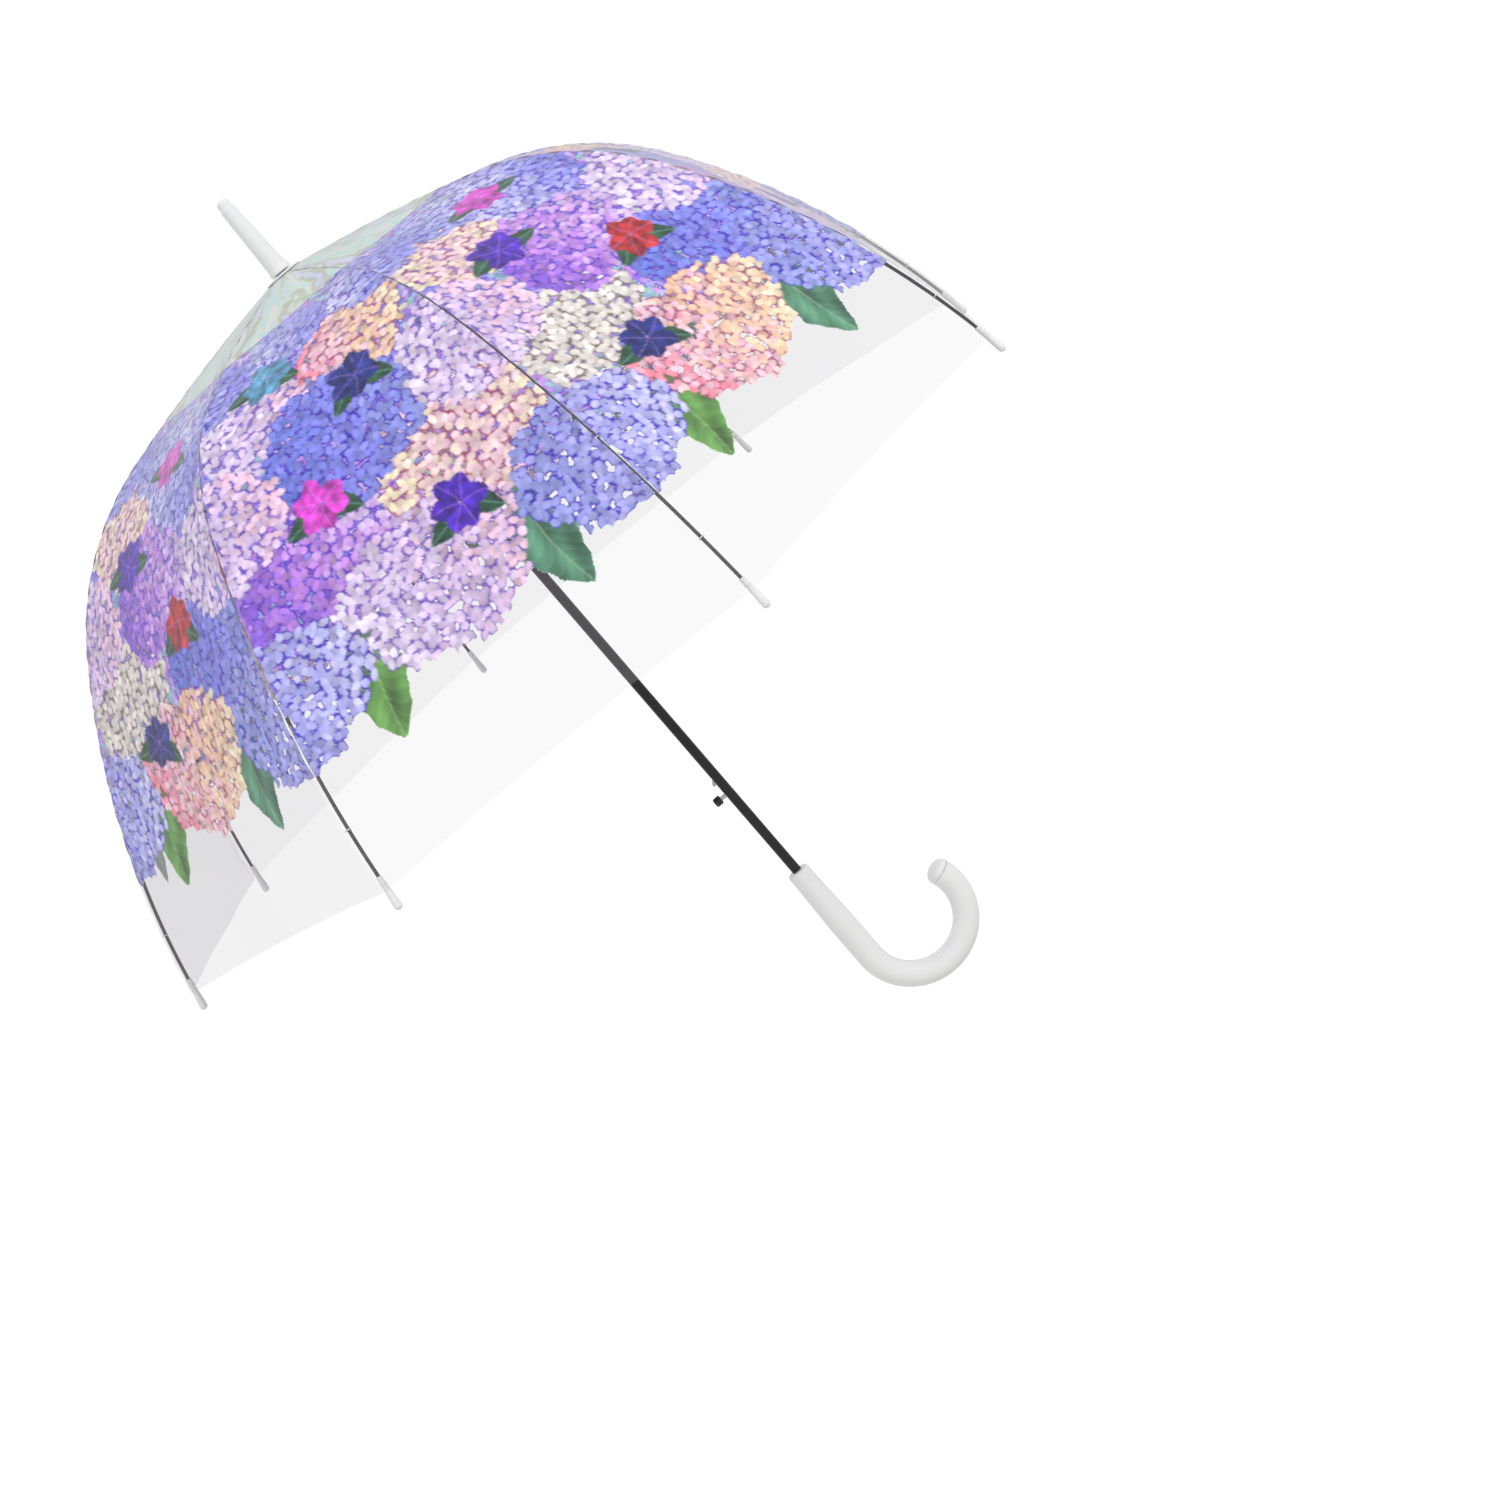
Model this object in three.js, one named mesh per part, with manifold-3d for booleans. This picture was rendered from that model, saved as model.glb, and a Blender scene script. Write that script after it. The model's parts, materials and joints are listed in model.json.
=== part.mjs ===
// Clear dome umbrella with a jump-opening frame, standing open.
// Millimetres, +Z up along the shaft. The origin is the middle of the grip on the shaft's axis.
// The hook opens towards +X and the release button is on the -X side.
import * as THREE from 'three';
import { mergeVertices } from 'three/addons/utils/BufferGeometryUtils.js';
import Module from 'manifold-3d';

const wasm = await Module();
wasm.setup();

// Canopy
const canopyRadius = 415;         // shaft axis to the end of a rib cap
const ribCount = 8;
const ribPhase = 14.5;            // degrees from +X to the first rib
const apexZ = 657;                // top of the film on the axis
const slopes = [8.5, 15.5, 52.6, 78.9];   // degrees below horizontal: apex, crown, shoulder, tip
const arcShares = [0.3, 0.244, 0.456];    // crown, shoulder and skirt arcs as shares of the run
const splitShare = 0.47;          // where the film folds, between gore and skirt
const rimInset = 15;              // film ends this far before the cap's end
const filmThickness = 0.4;
const filmStart = 8;              // film begins this far from the axis
const seamGap = 0.3;

// Ribs, caps and stretchers
const ribRadius = 1.3;
const ribDrop = 3;                // rib axis below the film's corner line
const hingeDrop = 5.6;            // the same at the notch
const dropRun = 52;               // run over which the rib rises to the film
const hingeRun = 9.5;             // from the axis along the film to the notch pivots
const capLength = 26;
const capEndRadius = 2.9;
const capNeckRadius = 2.1;
const earDrop = 4;                // stretcher pivot below the rib axis
const earShare = 0.395;           // stretcher pivot along the run
const stretcherRadius = 1.2;
const eyeRadius = 1.9;
const plateThickness = 1.6;
const pinClearance = 0.4;
const wireRadius = 0.5;
const rodInset = 12;              // rib rod ends this far before the cap's end
const pinRadius = 0.6;            // pin through a stretcher's fork
const forkWall = 0.8;

// Shaft, handle and fittings
const fit = 0.35;                 // clearance round the shaft
const tubeRadius = 4;
const tubeWall = 0.7;
const gripTop = 46;
const gripBottom = -46;
const gripRadius = 10.8;
const gripTopRadius = 9.4;
const hookRadius = 44;
const hookSweep = 200;            // degrees
const ferruleLength = 69;
const ferruleBaseRadius = 9;
const notchRadius = 11;
const slotPlay = 0.8;             // each side of a plate in a hub's slot
const slotDepth = 2.3;            // inwards from the pivot circle
const washerBore = 5;             // along the film from the axis
const washerRim = 16;
const clampRim = 13;              // rim of the washer under the film
const shaftFoot = -30;
const shaftOver = 33;             // shaft's top above the apex
const ferruleBore = 36;           // top of the ferrule's bore above the apex
const runnerDrop = 170;           // runner pivots below the apex
const runnerReach = 41;           // runner's foot below its pivots
const windowDrop = 35;            // catch window below the pivots
const catchZ = 144;
const buttonZ = 130;
const springWire = 0.6;
const springRadius = 6.3;
const springTurns = 15;
const leafGap = 0.2;              // catch's leaf spring to the tube's wall
const leafThickness = 0.2;

const deg = Math.PI / 180;

const looks = {
  film: { color: 0xeef0f2, roughness: 0.06, metalness: 0, transparent: true, opacity: 0.35 },
  blackSteel: { color: 0x1c1c1e, roughness: 0.35, metalness: 0.6 },
  steel: { color: 0x9a9c9e, roughness: 0.3, metalness: 1 },
  white: { color: 0xf4f4f2, roughness: 0.25, metalness: 0 },
  black: { color: 0x18181a, roughness: 0.4, metalness: 0 },
};

// ---------- small helpers ----------

function signedVolume(geometry) {
  const p = geometry.attributes.position;
  const index = geometry.index;
  const [a, b, c] = [new THREE.Vector3(), new THREE.Vector3(), new THREE.Vector3()];
  let sum = 0;
  for (let i = 0; i < index.count; i += 3) {
    a.fromBufferAttribute(p, index.getX(i));
    b.fromBufferAttribute(p, index.getX(i + 1));
    c.fromBufferAttribute(p, index.getX(i + 2));
    sum += a.dot(b.cross(c)) / 6;
  }
  return sum;
}

// Welds the corners and turns the faces outwards.
function closed(geometry) {
  geometry.deleteAttribute('normal');
  geometry.deleteAttribute('uv');
  const welded = mergeVertices(geometry, 1e-4);
  const kept = [];
  for (let i = 0; i < welded.index.count; i += 3) {
    const t = [0, 1, 2].map((k) => welded.index.getX(i + k));
    if (t[0] !== t[1] && t[1] !== t[2] && t[2] !== t[0]) kept.push(...t);
  }
  welded.setIndex(kept);
  if (signedVolume(welded) < 0) {
    for (let i = 0; i < kept.length; i += 3) [kept[i], kept[i + 1]] = [kept[i + 1], kept[i]];
    welded.setIndex(kept);
  }
  return welded;
}

function toSolid(geometry) {
  const g = closed(geometry);
  return new wasm.Manifold(new wasm.Mesh({
    numProp: 3,
    vertProperties: new Float32Array(g.attributes.position.array),
    triVerts: new Uint32Array(g.index.array),
  }));
}

function toGeometry(solid) {
  const mesh = solid.getMesh();
  const g = new THREE.BufferGeometry();
  g.setAttribute('position', new THREE.BufferAttribute(new Float32Array(mesh.vertProperties), 3));
  g.setIndex(Array.from(mesh.triVerts));
  return g;
}

function addMesh(parent, name, geometry, look) {
  const mesh = new THREE.Mesh(geometry, new THREE.MeshStandardMaterial(looks[look]));
  mesh.name = name;
  parent.add(mesh);
  return mesh;
}

// Solid of revolution about Z from [radius, z] corners.
function turned(corners, segments, loop = false) {
  const points = corners.map(([r, z]) => new THREE.Vector2(r, z));
  if (loop) points.push(points[0].clone());
  return new THREE.LatheGeometry(points, segments).rotateX(Math.PI / 2);
}

// Flat plate lying in the XZ plane, centred on Y = 0.
function plate(shape, thickness, curveSegments = 5) {
  const g = new THREE.ExtrudeGeometry(shape, { depth: thickness, bevelEnabled: false, curveSegments });
  return g.translate(0, 0, -thickness / 2).rotateX(Math.PI / 2);
}

function block(x0, x1, y0, y1, z0, z1) {
  const g = new THREE.BoxGeometry(x1 - x0, y1 - y0, z1 - z0);
  return g.translate((x0 + x1) / 2, (y0 + y1) / 2, (z0 + z1) / 2);
}

function polygon(radius, sides) {
  const corners = [];
  for (let i = 0; i < sides; i += 1) {
    const a = (2 * Math.PI * i) / sides;
    corners.push(new THREE.Vector2(radius * Math.cos(a), radius * Math.sin(a)));
  }
  return new THREE.Shape(corners);
}

function tubeAlong(curve, radius, sides, steps) {
  const settings = { steps, extrudePath: curve, bevelEnabled: false };
  return new THREE.ExtrudeGeometry(polygon(radius, sides), settings);
}

function ribAngle(k) {
  return (ribPhase + (360 / ribCount) * k) * deg;
}

// ---------- the film's corner line, in a plane through the shaft ----------

function lineAt(s, run) {
  let [r, depth, left] = [0, 0, s];
  for (let i = 0; i < 3; i += 1) {
    const length = arcShares[i] * run;
    const [a0, a1] = [slopes[i] * deg, slopes[i + 1] * deg];
    const part = i < 2 ? Math.min(left, length) : left;
    const bend = length / (a1 - a0);
    const a = a0 + part / bend;
    r += bend * (Math.sin(a) - Math.sin(a0));
    depth += bend * (Math.cos(a0) - Math.cos(a));
    left -= part;
    if (left <= 0) return { r, z: apexZ - depth, a };
  }
  return { r, z: apexZ - depth, a: slopes[3] * deg };
}

const run = canopyRadius / lineAt(1, 1).r;
const splitRun = splitShare * run;
const earRun = earShare * run;
const rimRun = run - rimInset;
const capRun = run - capLength;
const ribEndRun = run - rodInset;

// Rib axis: the corner line carried inwards along its normal.
function ribAt(s) {
  const p = lineAt(s, run);
  const rise = Math.max(0, 1 - (s - hingeRun) / dropRun);
  const d = ribDrop + (hingeDrop - ribDrop) * rise * rise;
  return new THREE.Vector3(p.r - d * Math.sin(p.a), 0, p.z - d * Math.cos(p.a));
}

const ribHinge = ribAt(hingeRun);
const pivotRadius = ribHinge.x;   // pivot circle of the notch and the runner
const earLine = lineAt(earRun, run);
const earPivot = ribAt(earRun).add(
  new THREE.Vector3(-Math.sin(earLine.a), 0, -Math.cos(earLine.a)).multiplyScalar(earDrop));
const runnerHinge = new THREE.Vector3(ribHinge.x, 0, apexZ - runnerDrop);

class RibCurve extends THREE.Curve {
  constructor(s0, s1) {
    super();
    this.s0 = s0;
    this.s1 = s1;
  }

  getPoint(t) {
    return ribAt(this.s0 + t * (this.s1 - this.s0));
  }
}

class CoilCurve extends THREE.Curve {
  constructor(z0, z1) {
    super();
    this.z0 = z0;
    this.z1 = z1;
  }

  getPoint(t) {
    const a = 2 * Math.PI * springTurns * t;
    const z = this.z0 + t * (this.z1 - this.z0);
    return new THREE.Vector3(springRadius * Math.cos(a), springRadius * Math.sin(a), z);
  }
}

class HookCurve extends THREE.Curve {
  getPoint(t) {
    const a = (180 + hookSweep * t) * deg;
    const x = hookRadius + hookRadius * Math.cos(a);
    return new THREE.Vector3(x, 0, gripBottom + hookRadius * Math.sin(a));
  }
}

// ---------- film ----------

// One flat-sided panel between two ribs, from s0 to s1 along the corner line.
function filmPanel(s0, s1, steps) {
  const half = Math.PI / ribCount;
  const lean = (a) => Math.atan(Math.tan(a) / Math.cos(half));
  const positions = [];
  for (let i = 0; i <= steps; i += 1) {
    const p = lineAt(s0 + ((s1 - s0) * i) / steps, run);
    const a = lean(p.a);
    const outer = [p.r * Math.cos(half), p.z];
    const inner = [outer[0] - filmThickness * Math.sin(a), p.z - filmThickness * Math.cos(a)];
    for (const [e, z] of [outer, inner]) {
      const w = e * Math.tan(half) - seamGap;
      positions.push(e, -w, z, e, w, z);
    }
  }
  const faces = [];
  const quad = (a, b, c, d) => faces.push(a, b, c, a, c, d);
  for (let i = 0; i < steps; i += 1) {
    const [m, n] = [4 * i, 4 * i + 4];
    quad(m, n, n + 1, m + 1);
    quad(m + 2, m + 3, n + 3, n + 2);
    quad(m, m + 2, n + 2, n);
    quad(m + 1, n + 1, n + 3, m + 3);
  }
  const end = 4 * steps;
  quad(0, 1, 3, 2);
  quad(end, end + 2, end + 3, end + 1);
  const g = new THREE.BufferGeometry();
  g.setAttribute('position', new THREE.Float32BufferAttribute(positions, 3));
  g.setIndex(faces);
  return closed(g);
}

function addFilm(group) {
  const gore = filmPanel(filmStart, splitRun - seamGap / 2, 16);
  const skirt = filmPanel(splitRun + seamGap / 2, rimRun, 12);
  for (let k = 0; k < ribCount; k += 1) {
    const turn = ribAngle(k + 0.5);
    addMesh(group, `gore_${k + 1}`, gore, 'film').rotation.z = turn;
    addMesh(group, `skirt_${k + 1}`, skirt, 'film').rotation.z = turn;
  }
}

// ---------- ribs, caps and stretchers ----------

function ringPlate(outer, hole) {
  const shape = new THREE.Shape();
  shape.absarc(0, 0, outer, 0, 2 * Math.PI);
  const bore = new THREE.Path();
  bore.absarc(0, 0, hole, 0, 2 * Math.PI, true);
  shape.holes.push(bore);
  return plate(shape, plateThickness);
}

function ribGeometry() {
  const rod = tubeAlong(new RibCurve(hingeRun + 1.5, ribEndRun), ribRadius, 6, 24);
  const eye = ringPlate(eyeRadius, wireRadius + pinClearance).translate(ribHinge.x, 0, ribHinge.z);
  const neck = new THREE.Shape();
  neck.moveTo(-1.6, -0.4);
  neck.lineTo(1.6, -0.4);
  neck.lineTo(1.6, earDrop - 1.4);
  neck.lineTo(-1.6, earDrop - 1.4);
  neck.closePath();
  const ear = toSolid(ringPlate(2, pinRadius + pinClearance))
    .add(toSolid(plate(neck, plateThickness).translate(0, 0, 1.4)));
  const place = new THREE.Matrix4().makeRotationY(earLine.a);
  place.setPosition(earPivot);
  const earGeometry = toGeometry(ear).applyMatrix4(place);
  return toGeometry(toSolid(rod).add(toSolid(eye)).add(toSolid(earGeometry)));
}

function capGeometry() {
  const bore = ribRadius + 0.35;
  const corners = [
    [0, -capLength + 15.5], [bore, -capLength + 15], [bore, -capLength],
    [capNeckRadius, -capLength], [capNeckRadius, -capLength + 7], [capEndRadius - 0.5, -14],
    [capEndRadius, -6], [capEndRadius, -2.2], [capEndRadius - 0.8, -0.7], [0, 0],
  ];
  return closed(turned(corners, 10));
}

// Rod from the runner's pivot circle up to the rib's ear, with a forked and pinned outer end.
function stretcherGeometry() {
  const reach = earPivot.clone().sub(runnerHinge);
  const length = reach.length();
  const inner = ringPlate(eyeRadius, wireRadius + pinClearance);
  const rodStart = 1.5;
  const rodEnd = length - 3.4;
  const rod = new THREE.CylinderGeometry(stretcherRadius, stretcherRadius, rodEnd - rodStart, 6);
  rod.rotateZ(Math.PI / 2).translate((rodStart + rodEnd) / 2, 0, 0);
  const gap = plateThickness / 2 + pinClearance;
  const side = gap + forkWall;
  const bridge = block(length - 5.4, length - 2.7, -side, side, -1.5, 1.5);
  const pin = new THREE.CylinderGeometry(pinRadius, pinRadius, 2 * side, 8).translate(length, 0, 0);
  let solid = toSolid(inner).add(toSolid(rod)).add(toSolid(bridge)).add(toSolid(pin));
  for (const [y0, y1] of [[-side, -gap], [gap, side]]) {
    solid = solid.add(toSolid(block(length - 3, length + 1.5, y0, y1, -1.5, 1.5)));
  }
  const place = new THREE.Matrix4().makeRotationY(-Math.atan2(reach.z, reach.x));
  place.setPosition(runnerHinge);
  return toGeometry(solid).applyMatrix4(place);
}

function addSpokes(group) {
  const rib = ribGeometry();
  const cap = capGeometry();
  const stretcher = stretcherGeometry();
  const neck = ribAt(capRun);
  const inCap = ribAt(ribEndRun);
  const heading = Math.atan2(inCap.x - neck.x, inCap.z - neck.z);
  const tip = inCap.clone().add(
    new THREE.Vector3(Math.sin(heading), 0, Math.cos(heading)).multiplyScalar(run - ribEndRun));
  for (let k = 0; k < ribCount; k += 1) {
    const spoke = new THREE.Group();
    spoke.rotation.z = ribAngle(k);
    group.add(spoke);
    addMesh(spoke, `rib_${k + 1}`, rib, 'blackSteel');
    addMesh(spoke, `stretcher_${k + 1}`, stretcher, 'blackSteel');
    const capMesh = addMesh(spoke, `rib_cap_${k + 1}`, cap, 'white');
    capMesh.position.copy(tip);
    capMesh.rotation.y = heading;
  }
}

// ---------- crown: notch, washers, ferrule ----------

// Hub with one slot for each rib or stretcher; the slots are cut from z0 to z1.
function slottedHub(corners, z0, z1) {
  let hub = toSolid(turned(corners, 24, true));
  const halfSlot = plateThickness / 2 + slotPlay;
  for (let k = 0; k < ribCount; k += 1) {
    const slot = block(pivotRadius - slotDepth, notchRadius + 2, -halfSlot, halfSlot, z0, z1);
    hub = hub.subtract(toSolid(slot.rotateZ(ribAngle(k))));
  }
  return hub;
}

const notchTop = lineAt(clampRim, run).z - 2.15;
const notchFoot = ribHinge.z - 5;

function notchGeometry() {
  const [h, g] = [ribHinge.z, wireRadius + pinClearance];
  const bore = tubeRadius + fit;
  const corners = [
    [bore, notchFoot], [notchRadius, notchFoot], [notchRadius, h - g], [pivotRadius - g, h - g],
    [pivotRadius - g, h + g], [notchRadius, h + g], [notchRadius, notchTop], [bore, notchTop],
  ];
  return toGeometry(slottedHub(corners, notchFoot - 1, notchTop + 1));
}

function wireRing(z) {
  return closed(new THREE.TorusGeometry(pivotRadius, wireRadius, 5, 32).translate(0, 0, z));
}

function outerWasherGeometry() {
  const rise = 0.45;
  const [a, b] = [lineAt(washerBore, run), lineAt(washerRim, run)];
  const corners = [
    [a.r, a.z + rise], [b.r, b.z + rise], [b.r, b.z + rise + 0.8], [a.r, a.z + rise + 1],
  ];
  return closed(turned(corners, 24, true));
}

function innerWasherGeometry() {
  const [a, b] = [lineAt(washerBore, run), lineAt(clampRim, run)];
  const foot = notchTop + 0.3;
  const corners = [[a.r, foot], [b.r, foot], [b.r, b.z - 1.2], [a.r, a.z - 1]];
  return closed(turned(corners, 24, true));
}

const ferruleBase = apexZ + 1;
const ferruleTip = apexZ + ferruleLength;

function ferruleGeometry() {
  const bore = tubeRadius + fit;
  const boreTop = apexZ + ferruleBore;
  const corners = [
    [0, boreTop], [bore, boreTop], [bore, ferruleBase], [ferruleBaseRadius, ferruleBase],
    [ferruleBaseRadius, ferruleBase + 2.5], [8, ferruleBase + 4.5], [5.9, ferruleTip - 9],
    [5.9, ferruleTip - 7.5], [5, ferruleTip - 6.8], [5, ferruleTip - 2.5], [4.3, ferruleTip - 0.7],
    [3.4, ferruleTip], [0, ferruleTip],
  ];
  return closed(turned(corners, 20));
}

// ---------- shaft, runner, spring ----------

const runnerTop = runnerHinge.z + 3;
const runnerFoot = runnerHinge.z - runnerReach;
const stopZ = runnerTop + 1.4;

function shaftGeometry() {
  const inside = tubeRadius - tubeWall;
  const [z0, z1] = [shaftFoot, apexZ + shaftOver];
  const corners = [[inside, z0], [tubeRadius, z0], [tubeRadius, z1], [inside, z1]];
  const cross = new THREE.CylinderGeometry(1.4, 1.4, 12, 10).translate(0, 0, stopZ);
  return toGeometry(toSolid(turned(corners, 20, true))
    .subtract(toSolid(cross))
    .subtract(toSolid(block(-5, -2, -1.5, 1.5, catchZ - 3.6, catchZ + 3.6)))
    .subtract(toSolid(block(-5, -2, -1.5, 1.5, buttonZ - 2.2, buttonZ + 2.2))));
}

function runnerGeometry() {
  const [h, g] = [runnerHinge.z, wireRadius + pinClearance];
  const bore = tubeRadius + fit + 0.1;
  const corners = [
    [bore, runnerFoot], [8.6, runnerFoot], [9, runnerFoot + 0.8], [9, runnerFoot + 3],
    [7.2, runnerFoot + 5], [7.2, h - 6.5], [notchRadius, h - 4.5], [notchRadius, h - g],
    [pivotRadius - g, h - g], [pivotRadius - g, h + g], [notchRadius, h + g],
    [notchRadius, runnerTop], [bore, runnerTop],
  ];
  const hub = slottedHub(corners, h - 5.5, runnerTop + 1);
  const window = block(-12, -2, -1.8, 1.8, h - windowDrop - 4.2, h - windowDrop + 4.2);
  return toGeometry(hub.subtract(toSolid(window)));
}

function springGeometry() {
  const [z0, z1] = [runnerTop + springWire + 0.3, notchFoot - springWire - 0.3];
  return closed(tubeAlong(new CoilCurve(z0, z1), springWire, 5, springTurns * 10));
}

// ---------- release catch ----------

function catchGeometry() {
  const outline = [
    [-1.6, buttonZ - 3.6], [-1.6, catchZ + 6], [-2.4, catchZ + 6], [-2.4, catchZ + 3],
    [-3.6, catchZ + 3], [-6.6, catchZ - 1], [-6.6, catchZ - 3], [-2.4, catchZ - 3],
    [-2.4, buttonZ + 1.6], [-10.8, buttonZ + 1.6], [-10.8, buttonZ - 1.6], [-2.4, buttonZ - 1.6],
    [-2.4, buttonZ - 3.6],
  ];
  return closed(plate(new THREE.Shape(outline.map(([x, z]) => new THREE.Vector2(x, z))), 2.2));
}

function buttonGeometry() {
  const corners = [
    [0, 2.6], [2.3, 2.6], [2.3, 0], [3.4, 0], [3.75, 0.5], [3.75, 5], [3.2, 6], [0, 6.4],
  ];
  return closed(turned(corners, 16)).rotateY(-Math.PI / 2).translate(-8.5, 0, buttonZ);
}

function leafGeometry() {
  const z = (catchZ + buttonZ) / 2;
  const wall = tubeRadius - tubeWall - leafGap;
  const outline = [
    [-1.3, z + 4.5], [-0.9, z + 4.5], [wall - leafThickness, z - 3.2], [-0.6, z - 4.9],
    [-0.5, z - 5.3], [wall, z - 3.5], [wall, z - 3.1], [-0.9, z + 5.1], [-1.3, z + 5.1],
  ];
  return closed(plate(new THREE.Shape(outline.map(([x, w]) => new THREE.Vector2(x, w))), 1.6));
}

// ---------- handle ----------

function gripGeometry() {
  const corners = [
    [0, gripBottom - 1], [gripRadius, gripBottom - 1], [gripRadius, gripBottom + 30],
    [gripTopRadius, gripTop - 1.2], [gripTopRadius - 1, gripTop], [0, gripTop],
  ];
  const hook = tubeAlong(new HookCurve(), gripRadius, 20, 24);
  const bore = new THREE.CylinderGeometry(tubeRadius + fit, tubeRadius + fit, 90, 16);
  bore.rotateX(Math.PI / 2).translate(0, 0, gripTop - 80 + 45);
  const socket = new THREE.CylinderGeometry(5.4, 5.4, 18, 16).rotateX(Math.PI / 2);
  return toGeometry(toSolid(turned(corners, 20)).add(toSolid(hook))
    .subtract(toSolid(bore))
    .subtract(toSolid(socket.applyMatrix4(hookEnd()))));
}

// Placement of the hook's end: +Z carries on along the hook.
function hookEnd() {
  const end = new HookCurve().getPoint(1);
  const place = new THREE.Matrix4().makeRotationY(-hookSweep * deg + Math.PI);
  place.setPosition(end);
  return place;
}

function endCapGeometry() {
  const corners = [
    [0, -8.5], [5, -8.5], [5, 0.3], [gripRadius, 0.3], [gripRadius, 1.5], [gripRadius * 0.93, 4.2],
    [gripRadius * 0.74, 6.7], [gripRadius * 0.42, 8.3], [0, 8.9],
  ];
  return closed(turned(corners, 20)).applyMatrix4(hookEnd());
}

// ---------- the umbrella ----------

const umbrella = new THREE.Group();
addMesh(umbrella, 'shaft_tube', shaftGeometry(), 'blackSteel');
addMesh(umbrella, 'handle_grip', gripGeometry(), 'white');
addMesh(umbrella, 'handle_end_cap', endCapGeometry(), 'white');
addMesh(umbrella, 'ferrule', ferruleGeometry(), 'white');
addMesh(umbrella, 'crown_washer', outerWasherGeometry(), 'white');
addMesh(umbrella, 'inner_washer', innerWasherGeometry(), 'white');
addMesh(umbrella, 'top_notch', notchGeometry(), 'black');
addMesh(umbrella, 'notch_ring', wireRing(ribHinge.z), 'steel');
addMesh(umbrella, 'runner', runnerGeometry(), 'black');
addMesh(umbrella, 'runner_ring', wireRing(runnerHinge.z), 'steel');
addMesh(umbrella, 'open_spring', springGeometry(), 'steel');
const pinShape = new THREE.CylinderGeometry(1, 1, 10.6, 10).translate(0, 0, stopZ);
addMesh(umbrella, 'stop_pin', closed(pinShape), 'steel');
addMesh(umbrella, 'catch_lever', catchGeometry(), 'steel');
addMesh(umbrella, 'button_cap', buttonGeometry(), 'black');
addMesh(umbrella, 'catch_spring', leafGeometry(), 'steel');
addFilm(umbrella);
addSpokes(umbrella);

export default umbrella;
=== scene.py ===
import json
import math

import bmesh
import bpy
import numpy as np
from mathutils import Matrix, Vector


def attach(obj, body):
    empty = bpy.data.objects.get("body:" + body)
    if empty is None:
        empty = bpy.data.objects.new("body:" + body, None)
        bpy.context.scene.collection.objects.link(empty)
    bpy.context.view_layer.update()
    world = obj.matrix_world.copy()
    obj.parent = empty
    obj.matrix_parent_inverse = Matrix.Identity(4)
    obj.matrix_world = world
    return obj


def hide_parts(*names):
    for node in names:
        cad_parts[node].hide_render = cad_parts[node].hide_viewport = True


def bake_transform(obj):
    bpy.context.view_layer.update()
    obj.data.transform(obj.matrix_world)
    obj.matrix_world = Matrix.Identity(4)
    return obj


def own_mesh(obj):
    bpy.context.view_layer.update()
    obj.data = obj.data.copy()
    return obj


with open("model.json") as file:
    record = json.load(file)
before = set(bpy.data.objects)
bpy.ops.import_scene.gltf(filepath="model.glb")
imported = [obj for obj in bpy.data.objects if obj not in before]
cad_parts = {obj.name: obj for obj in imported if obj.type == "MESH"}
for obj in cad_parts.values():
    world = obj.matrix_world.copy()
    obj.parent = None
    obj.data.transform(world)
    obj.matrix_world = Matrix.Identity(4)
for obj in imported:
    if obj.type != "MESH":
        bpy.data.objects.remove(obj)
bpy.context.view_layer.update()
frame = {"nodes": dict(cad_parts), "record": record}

dome = {
    "radius": 0.415,
    "count": 8,
    "phase": math.radians(14.5),
    "apex": 0.657,
    "slopes": [math.radians(a) for a in (8.5, 15.5, 52.6, 78.9)],
    "shares": (0.3, 0.244, 0.456),
    "split": 0.47,
    "rimInset": 0.015,
    "start": 0.008,
}
half = math.pi / dome["count"]


# radius, height and slope of the film's corner line, s along it from the apex
def lineAt(s, run):
    r, depth, left = 0.0, 0.0, s
    for i in range(3):
        length = dome["shares"][i] * run
        a0, a1 = dome["slopes"][i], dome["slopes"][i + 1]
        part = min(left, length) if i < 2 else left
        bend = length / (a1 - a0)
        a = a0 + part / bend
        r += bend * (math.sin(a) - math.sin(a0))
        depth += bend * (math.cos(a0) - math.cos(a))
        left -= part
        if left <= 0:
            break
    return r, dome["apex"] - depth, a


run = dome["radius"] / lineAt(1.0, 1.0)[0]
splitRun = dome["split"] * run
rimRun = run - dome["rimInset"]


def ribAngle(k):
    return dome["phase"] + 2 * half * k


def radial(angle):
    return Vector((math.cos(angle), math.sin(angle), 0))


def around(angle):
    return Vector((-math.sin(angle), math.cos(angle), 0))


def shader(name, **values):
    mat = bpy.data.materials.new(name)
    mat.use_nodes = True
    node = mat.node_tree.nodes["Principled BSDF"]
    for key, value in values.items():
        node.inputs[key.replace("_", " ")].default_value = value
    return mat, mat.node_tree, node


def addNoise(tree, scale, detail=3.0, space="Object"):
    coords = tree.nodes.new("ShaderNodeTexCoord")
    noise = tree.nodes.new("ShaderNodeTexNoise")
    noise.inputs["Scale"].default_value = scale
    noise.inputs["Detail"].default_value = detail
    tree.links.new(coords.outputs[space], noise.inputs["Vector"])
    return noise


def addRamp(tree, source, low, high, start=0.3, end=0.7):
    ramp = tree.nodes.new("ShaderNodeMapRange")
    ramp.inputs["From Min"].default_value = start
    ramp.inputs["From Max"].default_value = end
    ramp.inputs["To Min"].default_value = low
    ramp.inputs["To Max"].default_value = high
    tree.links.new(source, ramp.inputs["Value"])
    return ramp.outputs["Result"]


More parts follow.
